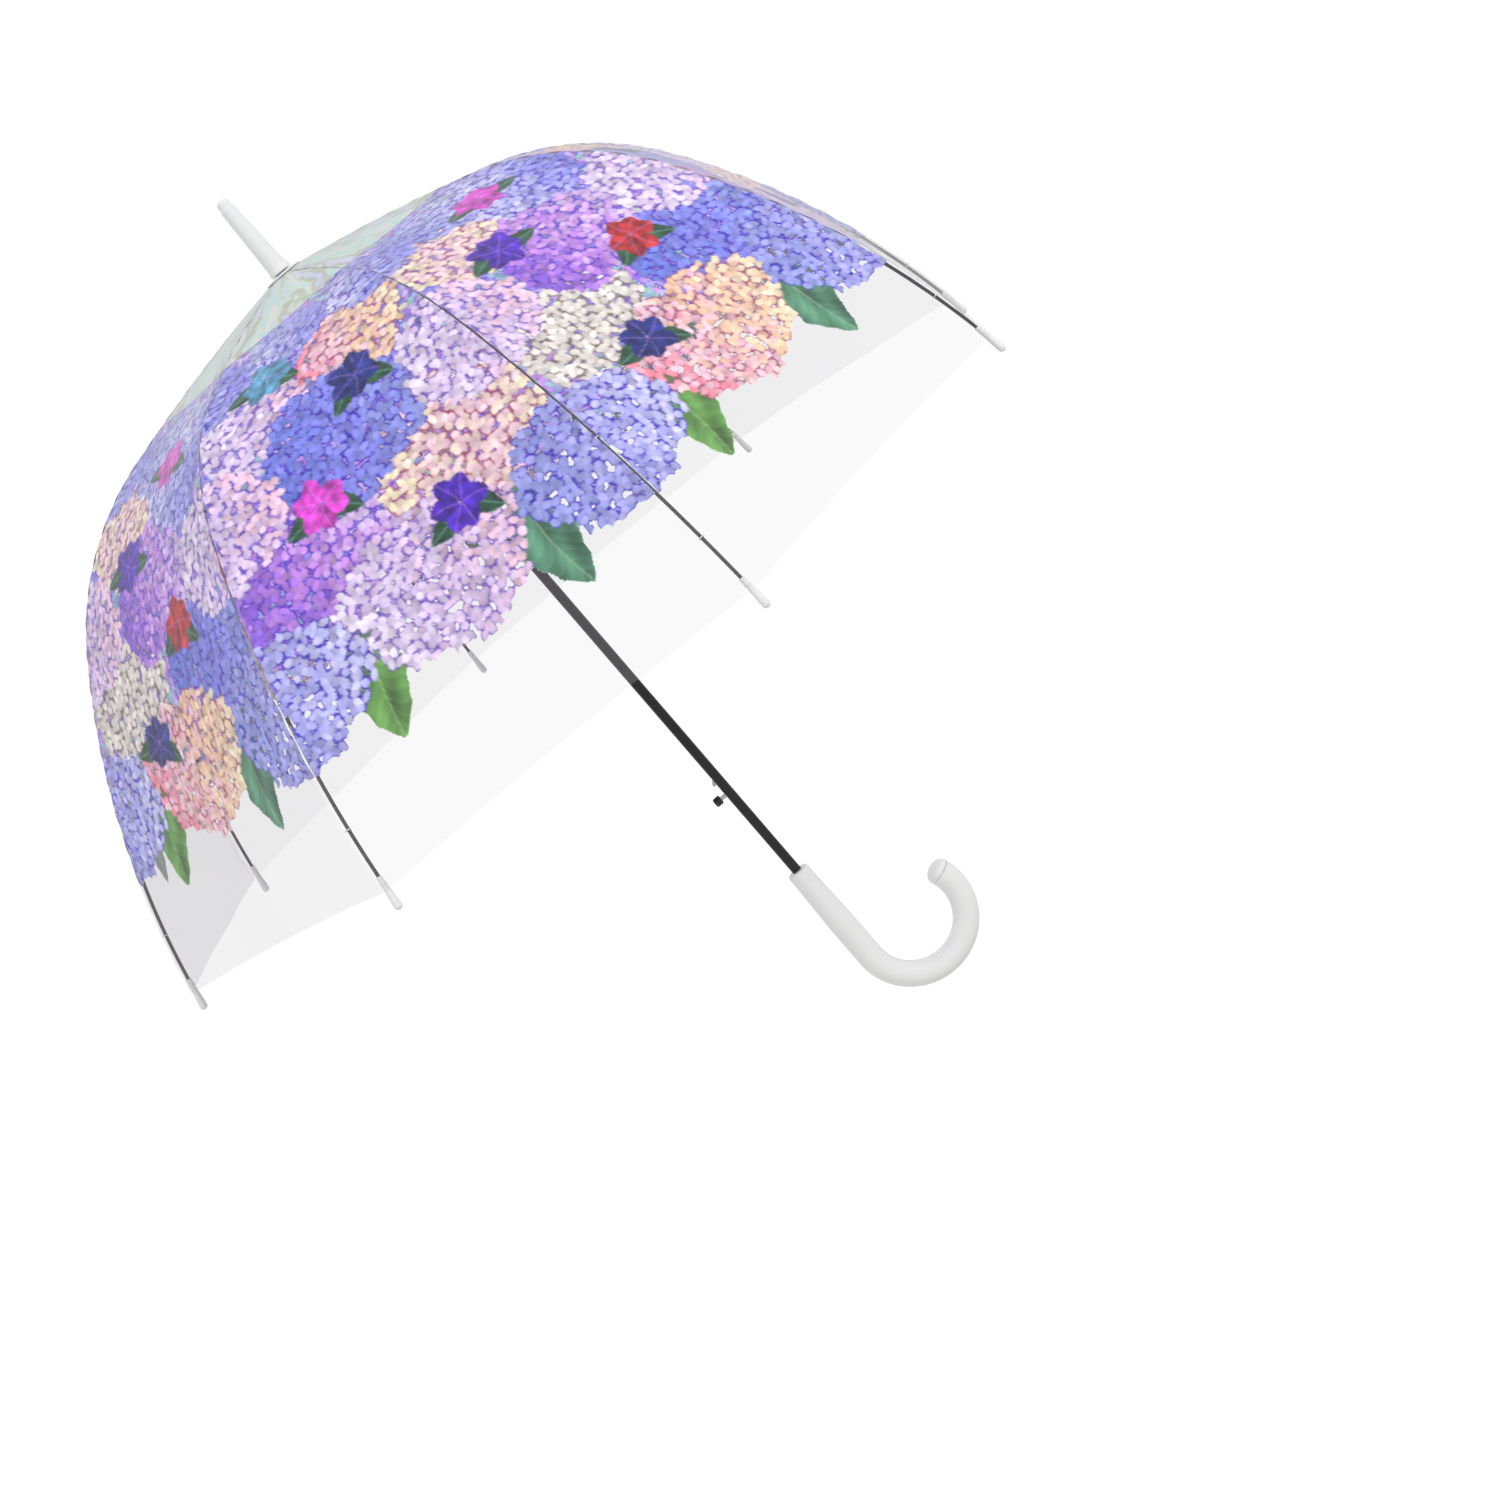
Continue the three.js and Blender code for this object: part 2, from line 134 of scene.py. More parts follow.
def addBump(tree, node, source, strength, distance):
    bump = tree.nodes.new("ShaderNodeBump")
    bump.inputs["Strength"].default_value = strength
    bump.inputs["Distance"].default_value = distance
    tree.links.new(source, bump.inputs["Height"])
    tree.links.new(bump.outputs["Normal"], node.inputs["Normal"])


def filmMaterial():
    mat, tree, node = shader("clearFilm", Base_Color=(0.54, 0.5, 0.55, 1), Roughness=0.07, IOR=1.5)
    face = tree.nodes.new("ShaderNodeLayerWeight")
    face.inputs["Blend"].default_value = 0.5
    alpha = addRamp(tree, face.outputs["Facing"], 0.12, 0.42, 0.3, 1.0)
    cling = tree.nodes.new("ShaderNodeAttribute")
    cling.attribute_name = "cling"
    clearer = tree.nodes.new("ShaderNodeMath")
    clearer.operation = "MULTIPLY"
    tree.links.new(alpha, clearer.inputs[0])
    tree.links.new(addRamp(tree, cling.outputs["Fac"], 1.0, 0.3, 0, 1), clearer.inputs[1])
    tree.links.new(clearer.outputs["Value"], node.inputs["Alpha"])
    noise = addNoise(tree, 9.0, 2.0)
    addBump(tree, node, noise.outputs["Fac"], 0.12, 0.004)
    return mat


def weldMaterial():
    colour = (0.86, 0.86, 0.88, 1)
    mat, tree, node = shader("weldedSeam", Base_Color=colour, Roughness=0.18, IOR=1.5)
    noise = addNoise(tree, 900.0)
    alpha = addRamp(tree, noise.outputs["Fac"], 0.04, 0.12)
    tree.links.new(alpha, node.inputs["Alpha"])
    addBump(tree, node, noise.outputs["Fac"], 0.3, 0.0003)
    return mat


def printMaterial():
    mat, tree, node = shader("filmPrint", Roughness=0.28, IOR=1.5)
    ink = tree.nodes.new("ShaderNodeVertexColor")
    ink.layer_name = "ink"
    tree.links.new(ink.outputs["Color"], node.inputs["Base Color"])
    node.inputs["Coat Weight"].default_value = 0.35
    node.inputs["Coat Roughness"].default_value = 0.08
    noise = addNoise(tree, 700.0)
    addBump(tree, node, noise.outputs["Fac"], 0.08, 0.0002)
    return mat


# opaque finishes: rough is the roughness from low to high, bump its strength and distance
finishes = {
    "blackSteel": {"colour": (0.022, 0.022, 0.025), "noise": 160, "rough": (0.26, 0.42),
                   "bump": (0.1, 0.0002), "values": {"Metallic": 0.35}},
    "wireSteel": {"colour": (0.56, 0.56, 0.57), "noise": 240, "rough": (0.2, 0.38),
                  "bump": None, "values": {"Metallic": 1.0}},
    "handleWhite": {"colour": (0.86, 0.86, 0.85), "noise": 55, "rough": (0.13, 0.2),
                    "bump": (0.03, 0.0004),
                    "values": {"IOR": 1.5, "Coat_Weight": 0.5, "Coat_Roughness": 0.05}},
    "fittingWhite": {"colour": (0.8, 0.8, 0.8), "noise": 120, "rough": (0.24, 0.36),
                     "bump": (0.05, 0.0003), "values": {"IOR": 1.48}},
    "hubBlack": {"colour": (0.02, 0.02, 0.021), "noise": 300, "rough": (0.32, 0.5),
                 "bump": (0.12, 0.0002), "values": {"IOR": 1.48}},
}


def opaqueMaterial(name):
    look = finishes[name]
    mat, tree, node = shader(name, Base_Color=(*look["colour"], 1), **look["values"])
    noise = addNoise(tree, look["noise"])
    tree.links.new(addRamp(tree, noise.outputs["Fac"], *look["rough"]), node.inputs["Roughness"])
    if look["bump"]:
        addBump(tree, node, noise.outputs["Fac"], *look["bump"])
    return mat


film = filmMaterial()
weld = weldMaterial()
ink = printMaterial()
blackSteel, wire, handleWhite, fittingWhite, hubBlack = [opaqueMaterial(n) for n in finishes]
slotLooks = {
    "clear_film": film,
    "black_steel": blackSteel,
    "wire_steel": wire,
    "handle_white": handleWhite,
    "fitting_white": fittingWhite,
    "hub_black": hubBlack,
}
for part in frame["record"]["subparts"]:
    mesh = frame["nodes"][part["node"]].data
    mesh.materials.clear()
    mesh.materials.append(slotLooks[part["material_slot"]])
print("materials made")


def shown(name, mesh):
    obj = bpy.data.objects.new(name, mesh)
    bpy.context.collection.objects.link(obj)
    return obj


# obj with its modifiers worked out, as a plain mesh
def evaluated(obj):
    bpy.context.view_layer.update()
    return bpy.data.meshes.new_from_object(obj.evaluated_get(bpy.context.evaluated_depsgraph_get()))


def meshObject(name, verts, faces, material):
    mesh = bpy.data.meshes.new(name)
    mesh.from_pydata([tuple(v) for v in verts], [], faces)
    mesh.update()
    mesh.polygons.foreach_set("use_smooth", [True] * len(mesh.polygons))
    mesh.materials.append(material)
    return shown(name, mesh)


def gridObject(name, points, quads, material):
    mesh = bpy.data.meshes.new(name)
    mesh.vertices.add(len(points))
    mesh.vertices.foreach_set("co", np.asarray(points, np.float32).ravel())
    mesh.loops.add(quads.size)
    mesh.loops.foreach_set("vertex_index", quads.astype(np.int32).ravel())
    mesh.polygons.add(len(quads))
    mesh.polygons.foreach_set("loop_start", np.arange(0, quads.size, 4, dtype=np.int32))
    mesh.polygons.foreach_set("use_smooth", [True] * len(quads))
    mesh.update(calc_edges=True)
    mesh.materials.append(material)
    return shown(name, mesh)


def gridQuads(rows, columns):
    index = np.arange(rows * columns).reshape(rows, columns)
    corners = (index[:-1, :-1], index[1:, :-1], index[1:, 1:], index[:-1, 1:])
    return np.stack([c.ravel() for c in corners], 1)


# solid of revolution about Z from (radius, height) corners, listed upwards on the outside
def turned(name, corners, material, segments=64):
    verts, faces, rings = [], [], []
    for r, z in corners:
        if r < 1e-9:
            rings.append([len(verts)])
            verts.append((0, 0, z))
            continue
        rings.append(list(range(len(verts), len(verts) + segments)))
        verts += [(r * math.cos(a), r * math.sin(a), z)
                  for a in (2 * math.pi * i / segments for i in range(segments))]
    for low, high in zip(rings, rings[1:]):
        for i in range(segments):
            j = (i + 1) % segments
            if len(low) == 1 and len(high) > 1:
                faces.append((low[0], high[j], high[i]))
            elif len(high) == 1 and len(low) > 1:
                faces.append((low[i], low[j], high[0]))
            elif len(low) > 1:
                faces.append((low[i], low[j], high[j], high[i]))
    return meshObject(name, verts, faces, material)


# the same outline with its corners rounded off
def rounded(corners, radius=0.0004, steps=3):
    out = [corners[0]]
    for before, here, after in zip(corners, corners[1:], corners[2:]):
        p, q, r = (Vector(c) for c in (before, here, after))
        reach = min(radius, (p - q).length / 2.2, (r - q).length / 2.2)
        a, b = q + (p - q).normalized() * reach, q + (r - q).normalized() * reach
        for i in range(steps + 1):
            t = i / steps
            out.append(tuple((1 - t) ** 2 * a + 2 * t * (1 - t) * q + t * t * b))
    out.append(corners[-1])
    return out


# node group that builds a shape from its sockets, smooths it and gives it the material
def shapeGroup(name, sockets, build):
    tree = bpy.data.node_groups.new(name, "GeometryNodeTree")
    face = tree.interface
    face.new_socket("Geometry", in_out="INPUT", socket_type="NodeSocketGeometry")
    inputs = [face.new_socket(label, in_out="INPUT", socket_type=kind) for label, kind in sockets]
    inputs.append(face.new_socket("Material", in_out="INPUT", socket_type="NodeSocketMaterial"))
    face.new_socket("Geometry", in_out="OUTPUT", socket_type="NodeSocketGeometry")
    enter, leave = tree.nodes.new("NodeGroupInput"), tree.nodes.new("NodeGroupOutput")
    link = tree.links.new
    smooth = tree.nodes.new("GeometryNodeSetShadeSmooth")
    paint = tree.nodes.new("GeometryNodeSetMaterial")
    link(build(tree, enter, link), smooth.inputs["Geometry"])
    link(smooth.outputs["Geometry"], paint.inputs["Geometry"])
    link(enter.outputs["Material"], paint.inputs["Material"])
    link(paint.outputs["Geometry"], leave.inputs["Geometry"])
    return (tree, *[i.identifier for i in inputs])


def named(tree, kind, name):
    node = tree.nodes.new("GeometryNodeInputNamedAttribute")
    node.data_type = kind
    node.inputs["Name"].default_value = name
    return node.outputs["Attribute"]


def circle(tree, resolution=None):
    node = tree.nodes.new("GeometryNodeCurvePrimitiveCircle")
    if resolution:
        node.inputs["Resolution"].default_value = resolution
    return node


# round wire swept along the input edges, as thick as their attribute says
def sweptWireNodes(tree, enter, link):
    curve = tree.nodes.new("GeometryNodeMeshToCurve")
    section = circle(tree)
    section.inputs["Radius"].default_value = 1.0
    sweep = tree.nodes.new("GeometryNodeCurveToMesh")
    sweep.inputs["Fill Caps"].default_value = True
    link(enter.outputs["Geometry"], curve.inputs["Mesh"])
    link(enter.outputs["Sides"], section.inputs["Resolution"])
    link(curve.outputs["Curve"], sweep.inputs["Curve"])
    link(named(tree, "FLOAT", "thickness"), sweep.inputs["Scale"])
    link(section.outputs["Curve"], sweep.inputs["Profile Curve"])
    return sweep.outputs["Mesh"]


def rivetShape(tree, enter, link):
    ball = tree.nodes.new("GeometryNodeMeshUVSphere")
    ball.inputs["Segments"].default_value = 14
    ball.inputs["Rings"].default_value = 8
    link(enter.outputs["Size"], ball.inputs["Radius"])
    flat = tree.nodes.new("GeometryNodeTransform")
    scale = tree.nodes.new("ShaderNodeCombineXYZ")
    scale.inputs["X"].default_value = 1
    scale.inputs["Y"].default_value = 1
    link(enter.outputs["Height"], scale.inputs["Z"])
    link(scale.outputs["Vector"], flat.inputs["Scale"])
    link(ball.outputs["Mesh"], flat.inputs["Geometry"])
    return flat.outputs["Geometry"]


def hoopShape(tree, enter, link):
    hoop, section = circle(tree, 20), circle(tree, 8)
    link(enter.outputs["Size"], hoop.inputs["Radius"])
    link(enter.outputs["Height"], section.inputs["Radius"])
    sweep = tree.nodes.new("GeometryNodeCurveToMesh")
    link(hoop.outputs["Curve"], sweep.inputs["Curve"])
    link(section.outputs["Curve"], sweep.inputs["Profile Curve"])
    return sweep.outputs["Mesh"]


# the shape set on each input point, its axis along the point's heading
def onPoints(shape):
    def build(tree, enter, link):
        align = tree.nodes.new("FunctionNodeAlignEulerToVector")
        align.axis = "Z"
        link(named(tree, "FLOAT_VECTOR", "heading"), align.inputs["Vector"])
        put = tree.nodes.new("GeometryNodeInstanceOnPoints")
        link(enter.outputs["Geometry"], put.inputs["Points"])
        link(shape(tree, enter, link), put.inputs["Instance"])
        link(align.outputs["Rotation"], put.inputs["Rotation"])
        real = tree.nodes.new("GeometryNodeRealizeInstances")
        link(put.outputs["Instances"], real.inputs["Geometry"])
        return real.outputs["Geometry"]
    return build


studSockets = (("Size", "NodeSocketFloat"), ("Height", "NodeSocketFloat"))
sweptWire = shapeGroup("sweptWire", (("Sides", "NodeSocketInt"),), sweptWireNodes)
rivetHeads = shapeGroup("rivetHeads", studSockets, onPoints(rivetShape))
tieRings = shapeGroup("tieRings", studSockets, onPoints(hoopShape))


# runs a node tree on obj and keeps its result as a plain mesh
def applied(obj, tree, values):
    change = obj.modifiers.new("shape", "NODES")
    change.node_group = tree
    for identifier, value in values:
        change[identifier] = value
    result = evaluated(obj)
    obj.modifiers.remove(change)
    obj.data = result
    result.name = obj.name
    return obj


# round wire through the points of path; radii is one number or one for each point
def tube(name, path, radii, material, sides=16):
    count = len(path)
    sizes = [radii] * count if isinstance(radii, (int, float)) else list(radii)
    mesh = bpy.data.meshes.new(name)
    mesh.from_pydata([tuple(p) for p in path], [(i, i + 1) for i in range(count - 1)], [])
    mesh.attributes.new("thickness", "FLOAT", "POINT").data.foreach_set("value", sizes)
    tree, sidesInput, materialInput = sweptWire
    return applied(shown(name, mesh), tree, ((sidesInput, sides), (materialInput, material)))


# one stud for each point, its axis along the heading given with the point
def studs(name, kind, spots, size, height, material):
    mesh = bpy.data.meshes.new(name)
    mesh.from_pydata([tuple(p) for p, _ in spots], [], [])
    flat = [c for _, heading in spots for c in heading]
    mesh.attributes.new("heading", "FLOAT_VECTOR", "POINT").data.foreach_set("vector", flat)
    tree, sizeInput, heightInput, materialInput = kind
    values = ((sizeInput, size), (heightInput, height), (materialInput, material))
    return applied(shown(name, mesh), tree, values)


def boxAt(bm, low, high, place=None):
    made = bmesh.ops.create_cube(bm, size=1)["verts"]
    size = [h - l for l, h in zip(low, high)]
    middle = [(h + l) / 2 for l, h in zip(low, high)]
    matrix = Matrix.Translation(middle) @ Matrix.Diagonal((*size, 1))
    bmesh.ops.transform(bm, matrix=matrix if place is None else place @ matrix, verts=made)
    return made


# one object from several, each part with its own material
def joined(name, pieces):
    with bpy.context.temp_override(
        active_object=pieces[0], selected_objects=pieces, selected_editable_objects=pieces
    ):
        bpy.ops.object.join()
    pieces[0].name = name
    pieces[0].data.name = name
    return pieces[0]


def finishPiece(obj, body, slotName, *nodes):
    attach(obj, body)
    if nodes:
        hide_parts(*nodes)
    return obj


filmLook = {
    "pull": 0.0022,       # how far the film draws in between two ribs
    "ripple": 0.0005,     # small puckers beside the welds
    "rimScallop": 0.003,  # the rim's hem rises a little between two caps
    "cling": 0.0026,      # beside a rib the film is clearer over this width
    "columns": 37,
    "rowStep": 0.008,
    "easeStart": 0.03, "easeOver": 0.25,     # the pull and the puckers come in along the gore
    "puckerReach": 0.022, "puckerWaves": 260,
    "flutter": 0.0012, "flutterOver": 0.06,  # waves of the rim
    "riseOver": 0.03,
}
lineTable = np.array([lineAt(s, run) for s in np.linspace(0, run, 2401)])
lineSteps = np.linspace(0, run, 2401)


# points of gore k: u from -1 to 1 across it, s down it; lift stands them off it
def filmPoints(k, u, s, lift=0.0):
    r = np.interp(s, lineSteps, lineTable[:, 0])
    z = np.interp(s, lineSteps, lineTable[:, 1])
    a = np.interp(s, lineSteps, lineTable[:, 2])
    lean = np.arctan(np.tan(a) / math.cos(half))
    ease = np.clip((s - filmLook["easeStart"]) / filmLook["easeOver"], 0, 1)
    inward = filmLook["pull"] * (1 - u * u) * ease
    edge = np.exp(-(((1 - np.abs(u)) * r * math.sin(half)) / filmLook["puckerReach"]) ** 2)
    wave = np.sin(s * filmLook["puckerWaves"] + 2.1 * k + 3 * u)
    pucker = filmLook["ripple"] * edge * wave * ease
    over = filmLook["flutterOver"]
    rim = np.clip((s - rimRun + over) / over, 0, 1)
    flutter = filmLook["flutter"] * rim * (1 - u * u) * np.sin(5.5 * u + 1.7 * k)
    off = lift - inward + pucker + flutter
    e = r * math.cos(half) + off * np.sin(lean)
    w = u * r * math.sin(half)
    middle = ribAngle(k + 0.5)
    out, side = radial(middle), around(middle)
    return np.stack([e * out.x + w * side.x, e * out.y + w * side.y, z + off * np.cos(lean)], -1)


def setNormals(obj, k, u, s):
    d = 1e-4
    across = filmPoints(k, u + d * 10, s) - filmPoints(k, u - d * 10, s)
    down = filmPoints(k, u, s + d) - filmPoints(k, u, s - d)
    normal = np.cross(down, across)
    normal /= np.linalg.norm(normal, axis=1)[:, None]
    obj.data.normals_split_custom_set_from_vertices([tuple(n) for n in normal])


def goreFlatSize(s0, s1):
    widths = [2 * lineAt(s, run)[0] * math.sin(half) for s in np.linspace(s0, s1, 60)]
    return max(widths), s1 - s0, float(np.mean(widths)) * (s1 - s0)


def foldAway(obj, body):
    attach(obj, body)
    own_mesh(obj)


def makeFilm(k):
    spans = {"gore": (dome["start"], splitRun), "skirt": (splitRun, rimRun)}
    for part, (s0, s1) in spans.items():
        rows = int((s1 - s0) / filmLook["rowStep"])
        columns = filmLook["columns"]
        across = np.sin(np.linspace(-math.pi / 2, math.pi / 2, columns))
        s, u = np.meshgrid(np.linspace(s0, s1, rows), across, indexing="ij")
        s, u = s.ravel(), u.ravel()
        over = filmLook["riseOver"]
        rise = filmLook["rimScallop"] * np.clip((s - rimRun + over) / over, 0, 1) * (1 - u * u)
        points = filmPoints(k, u, s - rise)
        obj = gridObject(f"film_{part}_{k + 1}", points, gridQuads(rows, columns), film)
        setNormals(obj, k, u, s - rise)
        toRib = (1 - np.abs(u)) * np.interp(s, lineSteps, lineTable[:, 0]) * math.sin(half)
        cling = obj.data.attributes.new("cling", "FLOAT", "POINT")
        near = np.exp(-(toRib / filmLook["cling"]) ** 2)
        cling.data.foreach_set("value", near.astype(np.float32))
        foldAway(obj, f"{part}_swing_{k + 1}")
        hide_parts(f"{part}_{k + 1}")
        width, length, area = goreFlatSize(s0, s1)


for k in range(dome["count"]):
    makeFilm(k)
print("film made")

canvas = {"cell": 0.7, "width": 330.0, "length": 600.0}
xs = np.arange(-canvas["width"] / 2, canvas["width"] / 2, canvas["cell"])
ss = np.arange(0, canvas["length"], canvas["cell"])


def newPanel():
    shape = (len(ss), len(xs))
    return {"rgb": np.ones(shape + (3,)), "alpha": np.zeros(shape)}


def window(x, s, reach):
    i0, i1 = np.searchsorted(xs, (x - reach, x + reach))
    j0, j1 = np.searchsorted(ss, (s - reach, s + reach))
    if i0 >= i1 or j0 >= j1:
        return None
    gx, gs = np.meshgrid(xs[i0:i1] - x, ss[j0:j1] - s)
    return slice(j0, j1), slice(i0, i1), gx, gs


# lays colour over the panel where area is above zero
def lay(panel, area, rows, columns, colour):
    a = np.clip(area, 0, 1)[..., None]
    patch = panel["rgb"][rows, columns]
    panel["rgb"][rows, columns] = patch * (1 - a) + colour * a
    panel["alpha"][rows, columns] = np.maximum(panel["alpha"][rows, columns], a[..., 0])


# one jittered grid of petal centres, and for each point the distance to the two nearest
def petalCells(gx, gs, size, rng):
    i, j = np.floor(gx / size).astype(int), np.floor(gs / size).astype(int)
    i0, j0 = i.min() - 1, j.min() - 1
    shape = (j.max() - j0 + 2, i.max() - i0 + 2)
    jx, js = rng.uniform(-0.36, 0.36, (2,) + shape) + 0.5
    lie = rng.uniform(0, math.pi, shape)
    longer = rng.uniform(1.0, 1.45, shape)
    near, second = np.full(gx.shape, 9.0), np.full(gx.shape, 9.0)
    cell = np.zeros(gx.shape, int)
    for dj in (-1, 0, 1):
        for di in (-1, 0, 1):
            a, b = np.clip(i - i0 + di, 0, shape[1] - 1), np.clip(j - j0 + dj, 0, shape[0] - 1)
            cx, cs = (a + i0 + jx[b, a]) * size, (b + j0 + js[b, a]) * size
            along = (gx - cx) * np.cos(lie[b, a]) + (gs - cs) * np.sin(lie[b, a])
            aside = (gs - cs) * np.cos(lie[b, a]) - (gx - cx) * np.sin(lie[b, a])
            d = np.hypot(along / longer[b, a], aside * longer[b, a] ** 0.6) / size
            closer = d < near
            second = np.where(closer, near, np.minimum(second, d))
            near = np.where(closer, d, near)
            cell = np.where(closer, b * shape[1] + a, cell)
    a, b = cell % shape[1], cell // shape[1]
    cx, cs = (a + i0 + jx[b, a]) * size, (b + j0 + js[b, a]) * size
    return near, second, cell, cx, cs, shape


# petals in colours that run from left to right, over a deep ground that shows between them
def petals(panel, rows, columns, gx, gs, inside, across, colours, gap, size, rng,
           spread=0.16, reach=0.6):
    near, second, cell, cx, cs, shape = petalCells(gx, gs, size, rng)
    count = shape[0] * shape[1]
    bright = np.clip(rng.normal(1.0, 0.07, count), 0.8, 1.13)[cell]
    seedShift = rng.uniform(0, 6)
    heading = rng.uniform(0, 2 * math.pi, count)[cell]
    drift = rng.normal(0, spread, count)[cell]
    palette = np.asarray(colours)
    t = np.clip(across(cx, cs) + drift, 0, 0.999) * (len(palette) - 1)
    k = t.astype(int)
    mix = (t - k)[..., None]
    body = palette[k] * (1 - mix) + palette[np.minimum(k + 1, len(palette) - 1)] * mix
    slope = ((gx - cx) * np.cos(heading) + (gs - cs) * np.sin(heading)) / size
    body = body * (bright + 0.13 * slope)[..., None]
    loose = 0.09 * np.sin(gx * 0.31 + seedShift) * np.sin(gs * 0.27 + 2 * seedShift)
    bright = bright * (1 + 0.06 * np.sin(cx * 0.17 + seedShift) * np.sin(cs * 0.21 + seedShift))
    crack = np.clip((reach + loose - near) / 0.07, 0, 1)
    fold = np.clip((second - near) / 0.1, 0, 1) * 0.16 + 0.84
    keep = (crack * fold)[..., None]
    ground = np.asarray(gap) * (0.85 + 0.3 * bright[..., None] - 0.15)
    colour = np.clip(ground * (1 - keep) + body * keep, 0, 1)
    area = np.where(inside(cx, cs), np.clip((reach + 0.12 - near) / 0.05, 0, 1), 0)
    lay(panel, area, rows, columns, colour)


# round head of many small flowers
def head(panel, x, s, rx, rs, colours, gap, seed, size=5.2, tilt=0.0, reach=0.57):
    rng = np.random.default_rng(seed)
    found = window(x, s, max(rx, rs) * 1.15 + 6)
    rows, columns, gx, gs = found
    wave = rng.uniform(0, 6, 3)

    def inside(cx, cs):
        turn = np.arctan2(cs, cx)
        edge = 1 + 0.05 * np.sin(3 * turn + wave[0]) + 0.035 * np.sin(7 * turn + wave[1])
        return np.hypot(cx / rx, cs / rs) < 0.95 * edge

    def across(cx, cs):
        return (cx / rx + 1) / 2 + tilt * cs / rs

    petals(panel, rows, columns, gx, gs, inside, across, colours, gap, size * 1.16, rng,
           0.16, reach)


# pointed leaf from its stalk to its tip; belly moves its widest part towards the tip
def leaf(panel, start, end, width, colour, vein, seed, belly=0.75, wavy=0.04):
    rng = np.random.default_rng(seed)
    p, q = np.asarray(start, float), np.asarray(end, float)
    length = np.hypot(*(q - p))
    ux, us = (q - p) / length
    rows, columns, gx, gs = window(*((p + q) / 2), length * 0.62 + width)
    gx, gs = gx + (q[0] - p[0]) / 2, gs + (q[1] - p[1]) / 2
    t = np.clip((gx * ux + gs * us) / length, -0.2, 1.2)
    d = gs * ux - gx * us + width * 0.06 * np.sin(t * 4 + seed)
    profile = np.sin(np.pi * np.clip(t, 0, 1) ** belly) ** 0.8 * width / 2
    coarse = np.sin(t * 19 + rng.uniform(0, 6))
    fine = np.sin(t * 43 + rng.uniform(0, 6))
    profile *= 1 + wavy * coarse + wavy * 0.6 * fine
    area = (profile - np.abs(d)) * 1.6
    area[(t <= 0) | (t >= 1)] = 0
    between = (t * length - np.abs(d) * 0.8) / max(5.0, width * 0.22)
    between = between + 0.25 * np.sin(d * 0.3 + seed)
    between = between - np.floor(between)
    patch = np.sin(t * 7 + d * 0.21 + seed) + np.sin(t * 13 - d * 0.33 + 2 * seed)
    shade = 0.9 + 0.12 * (d > 0) + 0.1 * patch + 0.12 * between - 0.1 * t
    body = np.asarray(colour) * shade[..., None]
    light = (np.clip(1 - between * 9, 0, 1) * 0.3)[..., None]
    body = body * (1 - light) + np.asarray(vein) * light
    mid = np.clip(1.1 - np.abs(d) * 1.2, 0, 1)[..., None] * 0.55
    lay(panel, area, rows, columns, np.clip(body * (1 - mid) + np.asarray(vein) * mid, 0, 1))


# open flower of separate petals round one centre
def bloom(panel, x, s, reach, width, count, colour, vein, seed, belly=1.2, flat=1.0):
    rng = np.random.default_rng(seed)
    first = rng.uniform(0, 2)
    for i in range(count):
        a = first + 2 * math.pi * i / count + rng.uniform(-0.2, 0.2)
        r = reach * rng.uniform(0.85, 1.1)
        tip = (x + r * math.cos(a), s + r * math.sin(a) * flat)
        tint = np.asarray(colour) * rng.uniform(0.85, 1.15)
        leaf(panel, (x, s), tip, width, tint, vein, seed * 10 + i, belly, 0.02)


# soft streaks of colour that fan out from the apex
def wash(panel, s0, s1, colours, seed):
    rng = np.random.default_rng(seed)
    rows = slice(*np.searchsorted(ss, (s0, s1)))
    gx, gs = np.meshgrid(xs, ss[rows])
    fan = gx / np.maximum(gs, 12)
    value = np.zeros_like(gx)
    for octave, weight in ((2.0, 1.0), (4.5, 0.8), (9.0, 0.5), (17.0, 0.25)):
        bend = np.sin(gs * 0.02 * octave + rng.uniform(0, 6))
        value += weight * np.sin(fan * octave * 5 + rng.uniform(0, 6) + 0.9 * bend)
    value = np.clip((value + 2.5) / 5, 0, 0.999) * (len(colours) - 1)
    palette = np.asarray(colours)
    i = value.astype(int)
    mix = (value - i)[..., None]
    colour = palette[i] * (1 - mix) + palette[np.minimum(i + 1, len(palette) - 1)] * mix
    lay(panel, np.ones_like(gx), rows, slice(None), colour)


# mixed petals under the heads, so that no film shows between them
def filler(panel, low, high, colours, gap, seed, size=5.5, wave=9):
    rng = np.random.default_rng(seed)
    rows = slice(*np.searchsorted(ss, (low, high + 3 * wave)))
    gx, gs = np.meshgrid(xs, ss[rows])

    def inside(cx, cs):
        return cs < high + wave * np.sin(cx * 0.09 + seed) + 4 * np.sin(cx * 0.31)

    def across(cx, cs):
        return 0.5 + 0.5 * np.sin(cx * 0.045 + 1.3 * np.sin(cs * 0.03 + seed) + seed)

    petals(panel, rows, slice(None), gx, gs, inside, across, colours, gap, size, rng, 0.22)


